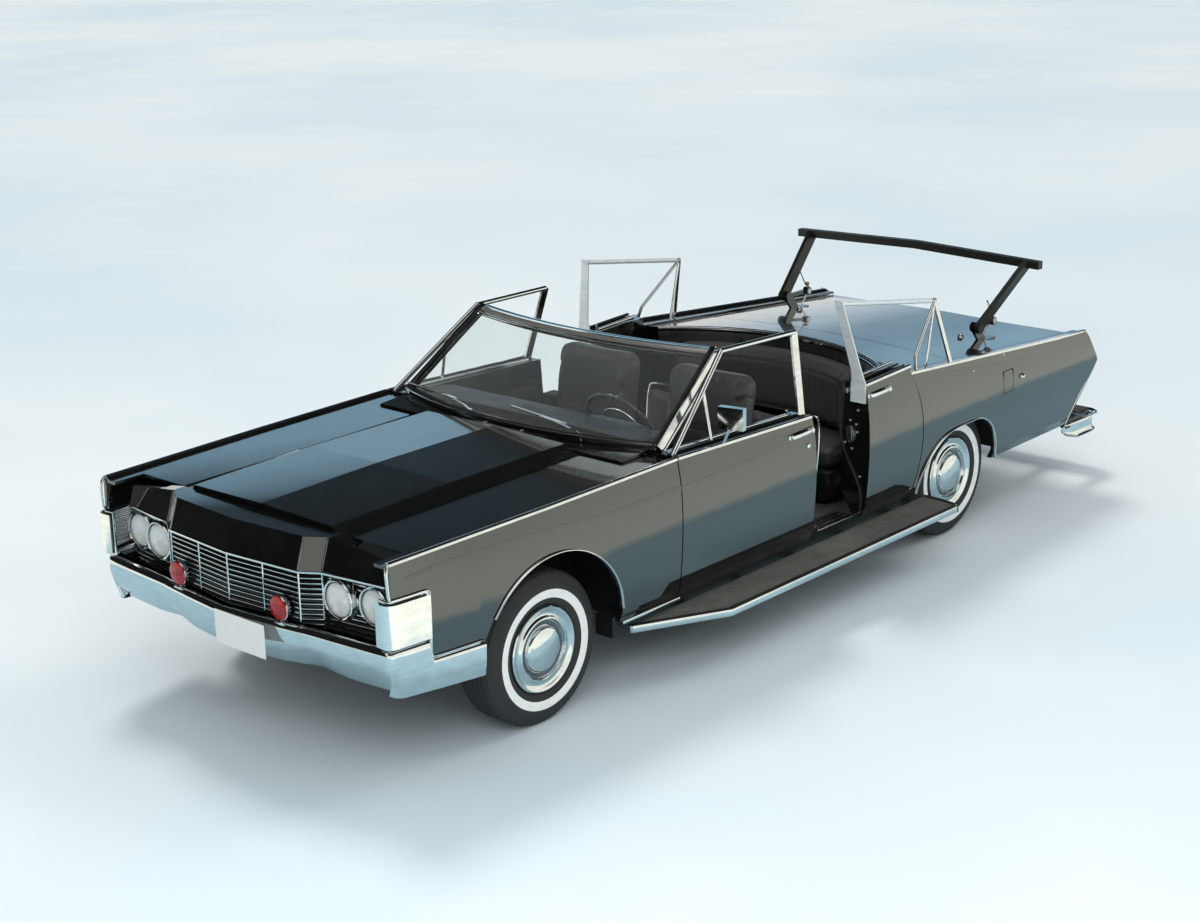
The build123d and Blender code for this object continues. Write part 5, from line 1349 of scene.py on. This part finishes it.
def normals_of(v, f):
    """Vertex normals: the sum of the normals of the quads round each vertex."""
    f = np.asarray(f)
    n = np.cross(v[f[:, 2]] - v[f[:, 0]], v[f[:, 3]] - v[f[:, 1]])
    out = np.zeros_like(v)
    for k in range(4):
        np.add.at(out, f[:, k], n)
    return unit(out)


def groove(value, at, width):
    """1 on a line where value equals at, falling to 0 over width."""
    return np.exp(-((value - at) / width) ** 2)


def pleats(across, pitch, power=0.5):
    """1 in the seams between pleats, falling to 0 on their crowns."""
    return 1 - np.abs(np.sin(math.pi * across / pitch)) ** power


def pushed(v, f, depth):
    """Moves each vertex inward along its normal by depth."""
    return v - normals_of(v, f) * np.asarray(depth)[:, None]


def cushion(name, shells, finish, body):
    obj = piece(name, [(v, np.asarray(f).tolist()) for v, f in shells], finish, body, 70)
    return obj


def lean(part, pivot, degrees):
    """Turns a part about a line across the car through pivot (x, z); a positive angle leans its top
    backwards."""
    v, f = part
    a = math.radians(degrees)
    x, z = v[:, 0] - pivot[0], v[:, 2] - pivot[1]
    return np.column_stack([pivot[0] + x * math.cos(a) - z * math.sin(a), v[:, 1],
                            pivot[1] + x * math.sin(a) + z * math.cos(a)]), f


def front_seats():
    """High-backed front seats: a pleated cushion, and a back with a plain upper pad, a pleated lumbar band
    and side rolls."""
    y = 375
    seat = stuffed("front_cushion", [pad_grid((-1760, y - 262, 372), (-1222, y + 262, 458), 14)], 0.009,
                   0.022)
    v, f = seat
    facing = np.clip((v[:, 2] - 410) / 30, 0, 1)
    across = v[:, 1] - y
    mid = (np.abs(across) < 190) & (v[:, 0] < -1290)
    depth = facing * (5 * groove(np.abs(across), 195, 7)
                      + 5 * groove(v[:, 0], -1285, 7) * (np.abs(across) < 195)
                      + np.where(mid, 3.5 * pleats(across, 38), 0))
    seat = pushed(v, f, depth), f
    back = stuffed("front_back", [pad_grid((-1775, y - 268, 470), (-1668, y + 268, 1160), 12)], 0.009,
                   0.022)
    v, f = back
    z, across = v[:, 2], v[:, 1] - y
    facing = np.clip((v[:, 0] + 1722) / 25, 0, 1)
    rear = np.clip((-1722 - v[:, 0]) / 25, 0, 1)
    band = (np.abs(across) < 200) & (z > 560) & (z < 830)
    depth = facing * (6 * groove(np.abs(across), 205, 7) + 6 * groove(z, 838, 6) * (np.abs(across) < 205)
                      + 4 * groove(z, 858, 5) * (np.abs(across) < 205)
                      + np.where(band, 4.5 * pleats(across, 33) + 3 * pleats(z - 560, 45, 0.4), 0))
    depth += rear * (4 * groove(np.abs(across), 215, 6) + 4 * groove(z, 1085, 6) * (np.abs(across) < 215))
    back = lean((pushed(v, f, depth), f), (-1720, 470), 9)
    base = [slab((-1745, y - 235, 284), (-1240, y + 235, 375)),
            slab((-1790, y - 240, 300), (-1700, y + 240, 500))]
    shells = [seat, back, mirrored(seat), mirrored(back)]
    pads = cushion("front_seat_pads", shells, "seat_leather", "body")
    piece("front_seat_bases", base + [mirrored(part) for part in base], "rim_plastic", "body",
          50)
    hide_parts("front_seats")


def jump_seats():
    """Folding seats behind the front ones: a cushion, a rounded low back with a bright hoop along its edge,
    on a folded leg."""
    x, y = -2150, 345
    seat = stuffed("jump_cushion", [pad_grid((x - 150, y - 212, 396), (x + 158, y + 212, 446), 8)], 0.009,
                   0.016)
    back = stuffed("jump_back", [pad_grid((x - 262, y - 222, 468), (x - 208, y + 222, 764), 9)], 0.009,
                   0.016)
    v, f = back
    facing = np.clip(np.abs(v[:, 0] - (x - 235)) / 18, 0, 1)
    back = lean((pushed(v, f, facing * 4 * groove(v[:, 2], 690, 6)), f), (x - 235, 470), 6)
    rise = [(268, 232, 480), (280, 236, 620), (290, 228, 740), (293, 190, 778), (294, 0, 782)]
    hoop = [(x - a, y - b, z) for a, b, z in rise] + [(x - a, y + b, z) for a, b, z in rise[-2::-1]]
    metal = [carried(smooth_path(hoop, 5), ring(8, 10), (1, 0, 0))]
    legs = [rod((x + foot, y + b, 268), (x + head, y + b, 398), 11)
            for foot, head in ((-120, 60), (60, -120)) for b in (-150, 150)]
    legs.append(slab((x - 160, y - 190, 262), (x + 100, y + 190, 274)))
    shells = [seat, back, mirrored(seat), mirrored(back)]
    pads = cushion("jump_seat_pads", shells, "seat_leather", "body")
    piece("jump_seat_hoops", [q for p in metal for q in pair(p)], "polished_plate", "body")
    piece("jump_seat_legs", [q for p in legs for q in pair(p)], "brushed_alloy", "body")
    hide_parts("jump_seats")


def rear_seat():
    """Rear bench: a crowned cushion and a back that follows the cockpit's arc, both pleated fore and aft or
    upright."""
    seat = stuffed("rear_cushion", [pad_grid((-2905, -612, 470), (-2498, 612, 560), 12)], 0.011, 0.024)
    v, f = seat
    facing = np.clip((v[:, 2] - 505) / 30, 0, 1)
    centre = np.clip((np.abs(v[:, 1]) - 60) / 8, 0, 1)
    depth = facing * (4.5 * pleats(v[:, 1], 52) * (v[:, 0] < -2560) * centre
                      + 6 * groove(v[:, 0], -2556, 7) + 6 * groove(np.abs(v[:, 1]), 58, 7))
    seat = pushed(v, f, depth), f
    radius = COCKPIT_RADIUS - 72
    low, high = 575, 968
    v, f = stuffed("rear_back", [pad_grid((-45, -690, low), (45, 690, high), 10)], 0.011, 0.022)
    facing = np.clip((v[:, 0] - 5) / 25, 0, 1)
    v = pushed(v, f, facing * (5 * pleats(v[:, 1], 56) * (v[:, 2] < high - 88)
                               + 7 * groove(v[:, 2], high - 84, 7)))
    angle = v[:, 1] / radius
    r = radius - v[:, 0]
    back = np.column_stack([COCKPIT_X - r * np.cos(angle), r * np.sin(angle), v[:, 2]]), f
    pads = cushion("rear_seat_pads", [seat, back], "seat_leather", "body")
    base = [slab((-2735, -600, 270), (-2500, -100, 470)), slab((-2735, 100, 270), (-2500, 600, 470))]
    piece("rear_seat_base", base, "trim_leather", "body", 50)
    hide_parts("rear_seat")


def cockpit_trim():
    """Padded leather rim round the rear cockpit with gathered folds, side pads by the seat and the bright
    moulding round the tonneau's edge."""
    a = np.linspace(-0.735, 0.735, 150)
    rows = np.linspace(0, 1, 16)
    fold = 5 * np.sin(a * 61 + 1.5 * np.sin(a * 23))
    belly = np.sin(np.pi * rows)[None]
    r = COCKPIT_RADIUS - 6 - 30 * belly ** 0.7 - fold[:, None] * belly * 0.8
    z = 978 + np.linspace(8, -190, 16)[None] + 2.5 * np.sin(a * 37)[:, None] * rows[None]
    arc = sheet(COCKPIT_X - r * np.cos(a)[:, None], r * np.sin(a)[:, None], z)
    piece("cockpit_rim", [skin(arc)], "trim_leather", "body", 60)
    edge = COCKPIT_RADIUS + 14
    line = np.column_stack([COCKPIT_X - edge * np.cos(a), edge * np.sin(a), np.zeros(len(a))])
    line[:, 2] = deck_z(line[:, 0], line[:, 1]) + 1
    metal = [carried(line, [(-9, 0), (-8, 4), (-3, 6), (3, 6), (8, 4), (9, 0)])]
    inner = line + np.column_stack([22 * np.cos(a), -22 * np.sin(a), np.full(len(a), -4)])
    metal.append(carried(inner, ring(4, 8)))
    piece("cockpit_moulding", metal, "satin_plate", "body")


def carpets():
    """Fitted carpets: gently uneven sheets over the floor, the tunnel and the heel wall, each a grid with
    low waves."""
    def sheet_of(x0, x1, y0, y1, z, waves=2.0):
        u, v = np.linspace(x0, x1, 40), np.linspace(y0, y1, 24)
        rise = waves * np.sin(u * 0.017)[:, None] * np.cos(v * 0.021)[None] + 5
        return skin(sheet(u[:, None], v[None], z + rise))
    parts = []
    for x0, x1 in ((-720, -1200), (-1800, -2010), (-2290, -2735), (-2010, -2290)):
        parts += pair(sheet_of(x0, x1, 92, 764, 262))
    parts.append(sheet_of(-722, -2735, -82, 82, 416, 1.5))
    for sign in (1, -1):
        u, v = np.linspace(-722, -2735, 60), np.linspace(268, 414, 8)
        wall = sign * (88 + 2 * np.sin(u * 0.02))
        grid = sheet(u[:, None], wall[:, None], v[None])
        parts.append(skin(grid if sign > 0 else grid[::-1]))
    piece("cabin_carpets", parts, "cabin_carpet", "body", 60)
    plates = []
    for sign in (1, -1):
        for i in range(4):
            y = sign * (520 + 52 * i)
            plates.append(carried([(-1990, y, 271), (-2280, y, 271)], rounded(10, 4, 1.5)))
    piece("entry_strips", plates, "brushed_alloy", "body")


def dash():
    """Dash detail: hooded instrument box, bright strips, vents, round knobs and dials, the glove box line
    and pedals."""
    x = -1085
    metal, dark = [], []
    for z in (968, 912):
        front = x - 1 + 0.08 * (968 - z)
        metal.append(carried([(front, -735, z), (front, 735, z)], rounded(6, 7, 2)))
    dark.append(slab((-1110, 190, 975), (-950, 560, 1040)))
    for y, r in ((300, 42), (390, 42), (465, 26)):
        metal.append(turned([(-2, r - 3), (3, r), (6, r - 3), (3, r - 6)], (-1086, y, 940), (-1, 0, 0), 32))
        dark.append(turned([(0, 0), (0, r - 5), (2, r - 5), (3, 0)], (-1084, y, 940), (-1, 0, 0), 24))
    for y in (-520, -360, -60, 20, 100):
        metal.append(turned([(0, 0), (0, 9), (14, 11), (17, 9), (18, 0)], (-1076, y, 880), (-1, 0, 0), 16))
    for y in (-640, 640, -140, 140):
        for i in range(5):
            metal.append(carried([(-1082, y - 46, 926 + 8 * i), (-1082, y + 46, 926 + 8 * i)],
                                 rounded(4, 2.5, 1)))
    for y, w in ((300, 34), (470, 26)):
        dark.append(slab((-860, y - w, 360), (-848, y + w, 430)))
        metal.append(rod((-850, y, 400), (-740, y, 520), 6))
    u, v = np.linspace(-730, 730, 90), np.linspace(0, 1, 14)
    z = 1052 - 24 * v[None] + 3 * np.cos(u * 0.004)[:, None] + 10 * np.sin(np.pi * v)[None]
    top = skin(sheet(-845 - 250 * v[None], u[:, None], z))
    piece("dash_brightwork", metal, "polished_plate", "body")
    piece("dash_instruments", dark, "rim_plastic", "body")
    piece("dash_cover", [top], "dash_vinyl", "body", 60)


def steering():
    """Steering wheel: a thin rim with finger grips, two dished spokes with bright edges, a horn bar and a
    padded boss."""
    tilt = math.radians(28)
    centre = np.array((-1130, 375, 985.0))
    axis = np.array((-math.cos(tilt), 0, math.sin(tilt)))
    up = np.array((math.sin(tilt), 0, math.cos(tilt)))
    side = np.array((0, 1.0, 0))
    a = np.linspace(0, 2 * math.pi, 72, endpoint=False)
    circle = np.cos(a)[:, None] * side + np.sin(a)[:, None] * up
    grip = 1 + 0.07 * (np.sin(a * 36) > 0) * (np.abs(np.cos(a)) > 0.3)
    dark = [carried(centre + 205 * circle, ring(10.5, 12), axis, closed=True, scale=grip)]
    dark.append(turned([(-24, 0), (-24, 44), (0, 50), (12, 40), (20, 22), (22, 0)], centre, axis, 40))
    metal = [carried(centre + 118 * circle + axis * 4, ring(3.5, 8), axis, closed=True)]
    for sign in (1, -1):
        start, end = centre + side * sign * 36 - up * 6, centre + side * sign * 200 - up * 10
        dark.append(carried(smooth_path([start, (start + end) / 2 - axis * 10, end], 5), rounded(34, 10, 4),
                            up))
        metal.append(carried(smooth_path([start + axis * 7, (start + end) / 2 - axis * 3, end + axis * 7],
                                         5), rounded(7, 3, 1), up))
    dark += [rod(centre - axis * 24, centre - axis * 150, 34, 20, 30),
             rod(centre - axis * 150, centre - axis * 470, 24, 20)]
    lever = centre - axis * 60
    levers = [rod(lever - side * 30 + up * 4, lever - side * 190 + up * 60, 5),
              rod(lever + side * 30, lever + side * 150 - up * 10, 4)]
    piece("column_levers", levers, "polished_plate", "body", 50)
    wheel = piece("steering_wheel_detail", dark, "rim_plastic", "steering_wheel", 50)
    piece("steering_wheel_brightwork", metal, "polished_plate", "steering_wheel", 50)
    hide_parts("steering_wheel")


# ---- Add-on: settings, operators and panel ----
class LimousineSettings(bpy.types.PropertyGroup):
    """Colours and sizes that a user would change before building."""
    paint: FloatVectorProperty(name="Paint", subtype="COLOR",
                               description="Base colour of the body paint under its clear coat",
                               default=(0.0035, 0.004, 0.004), min=0, max=1)
    rubber: FloatVectorProperty(name="Tyre rubber", subtype="COLOR",
                                description="Colour of the tyres' tread and dark sidewall",
                                default=(0.022, 0.021, 0.018), min=0, max=1)
    lens: FloatProperty(name="Lens", unit="CAMERA",
                        description="Camera's focal length on a 36 mm wide sensor, in millimetres",
                        default=63.804, min=10, max=300)
    light: FloatProperty(name="Light", subtype="FACTOR",
                         description="Share of the studio lamps' full power", default=1.0, min=0, max=4)


class LIMOUSINE_OT_stage(bpy.types.Operator):
    """Builds the floor, the studio lights, the surroundings and the camera."""
    bl_idname = "limousine.stage"
    bl_label = "Stage"

    def execute(self, context):
        stage()
        return {"FINISHED"}


class LIMOUSINE_OT_finishes(bpy.types.Operator):
    """Makes every material and dresses the carried-over nodes."""
    bl_idname = "limousine.finishes"
    bl_label = "Finishes"

    def execute(self, context):
        finishes()
        dress_nodes()
        return {"FINISHED"}


class LIMOUSINE_OT_brightwork(bpy.types.Operator):
    """Builds the crest strips, wheel lips and sill strips."""
    bl_idname = "limousine.brightwork"
    bl_label = "Body brightwork"

    def execute(self, context):
        brightwork()
        return {"FINISHED"}


class LIMOUSINE_OT_nose(bpy.types.Operator):
    """Builds the header moulding, grille bars and uprights."""
    bl_idname = "limousine.nose"
    bl_label = "Grille"

    def execute(self, context):
        nose()
        return {"FINISHED"}


class LIMOUSINE_OT_lamps(bpy.types.Operator):
    """Builds the headlamps, corner lamps and warning lamps."""
    bl_idname = "limousine.lamps"
    bl_label = "Front lamps"

    def execute(self, context):
        lamps()
        return {"FINISHED"}


class LIMOUSINE_OT_bumper(bpy.types.Operator):
    """Builds the rolled front bumper with its brackets and screws."""
    bl_idname = "limousine.bumper"
    bl_label = "Front bumper"

    def execute(self, context):
        bumper()
        return {"FINISHED"}


class LIMOUSINE_OT_wheels(bpy.types.Operator):
    """Builds the four tyres and their covers."""
    bl_idname = "limousine.wheels"
    bl_label = "Wheels and tyres"

    def execute(self, context):
        wheels()
        return {"FINISHED"}


class LIMOUSINE_OT_windscreen(bpy.types.Operator):
    """Builds the windscreen's mouldings, seals and wipers."""
    bl_idname = "limousine.windscreen"
    bl_label = "Windscreen"

    def execute(self, context):
        windscreen()
        return {"FINISHED"}


class LIMOUSINE_OT_doors(bpy.types.Operator):
    """Builds the doors' handles, trim, seals and shut-face fittings."""
    bl_idname = "limousine.doors"
    bl_label = "Doors"

    def execute(self, context):
        doors()
        shut_faces()
        return {"FINISHED"}


class LIMOUSINE_OT_boards(bpy.types.Operator):
    """Builds the running boards' mats, ribs and edges."""
    bl_idname = "limousine.boards"
    bl_label = "Running boards"

    def execute(self, context):
        boards()
        return {"FINISHED"}


class LIMOUSINE_OT_rail(bpy.types.Operator):
    """Builds the rear step's plate, the handrail's catches and the deck knobs."""
    bl_idname = "limousine.rail"
    bl_label = "Step and handrail"

    def execute(self, context):
        step_and_rail()
        return {"FINISHED"}


class LIMOUSINE_OT_tail(bpy.types.Operator):
    """Builds the rear lamps, edge mouldings, fuel door and side lock."""
    bl_idname = "limousine.tail"
    bl_label = "Tail"

    def execute(self, context):
        tail()
        return {"FINISHED"}


class LIMOUSINE_OT_front_seats(bpy.types.Operator):
    """Builds the two high-backed front seats."""
    bl_idname = "limousine.front_seats"
    bl_label = "Front seats"

    def execute(self, context):
        front_seats()
        return {"FINISHED"}


class LIMOUSINE_OT_jump_seats(bpy.types.Operator):
    """Builds the folding seats with their hoops."""
    bl_idname = "limousine.jump_seats"
    bl_label = "Folding seats"

    def execute(self, context):
        jump_seats()
        return {"FINISHED"}


class LIMOUSINE_OT_rear_seat(bpy.types.Operator):
    """Builds the rear bench and its curved back."""
    bl_idname = "limousine.rear_seat"
    bl_label = "Rear seat"

    def execute(self, context):
        rear_seat()
        return {"FINISHED"}


class LIMOUSINE_OT_cabin(bpy.types.Operator):
    """Builds the cockpit trim, carpets and dash."""
    bl_idname = "limousine.cabin"
    bl_label = "Cabin"

    def execute(self, context):
        cockpit_trim()
        carpets()
        dash()
        return {"FINISHED"}


class LIMOUSINE_OT_steering(bpy.types.Operator):
    """Builds the steering wheel and its column."""
    bl_idname = "limousine.steering"
    bl_label = "Steering wheel"

    def execute(self, context):
        steering()
        return {"FINISHED"}


OPERATORS = (
    LIMOUSINE_OT_stage, LIMOUSINE_OT_finishes, LIMOUSINE_OT_brightwork, LIMOUSINE_OT_nose, LIMOUSINE_OT_lamps,
    LIMOUSINE_OT_bumper, LIMOUSINE_OT_wheels, LIMOUSINE_OT_windscreen, LIMOUSINE_OT_doors, LIMOUSINE_OT_boards,
    LIMOUSINE_OT_rail, LIMOUSINE_OT_tail, LIMOUSINE_OT_front_seats, LIMOUSINE_OT_jump_seats,
    LIMOUSINE_OT_rear_seat, LIMOUSINE_OT_cabin, LIMOUSINE_OT_steering,
)


class LIMOUSINE_PT_build(bpy.types.Panel):
    """Sidebar panel with the settings and one button for each building step."""
    bl_idname = "LIMOUSINE_PT_build"
    bl_label = "Open escort limousine"
    bl_space_type = "VIEW_3D"
    bl_region_type = "UI"
    bl_category = "Limousine"

    def draw(self, context):
        for name in ("paint", "rubber", "lens", "light"):
            self.layout.prop(context.scene.limousine, name)
        for operator in OPERATORS:
            self.layout.operator(operator.bl_idname)


CLASSES = (LimousineSettings, *OPERATORS, LIMOUSINE_PT_build)


def register():
    for cls in CLASSES:
        bpy.utils.register_class(cls)
    bpy.types.Scene.limousine = PointerProperty(type=LimousineSettings)


def unregister():
    del bpy.types.Scene.limousine
    for cls in reversed(CLASSES):
        bpy.utils.unregister_class(cls)


def main():
    """Builds everything in order."""
    register()
    bpy.ops.limousine.finishes()
    for operator in OPERATORS:
        if operator is not LIMOUSINE_OT_finishes:
            getattr(bpy.ops.limousine, operator.bl_idname.split(".")[1])()


if __name__ == "__main__":
    main()
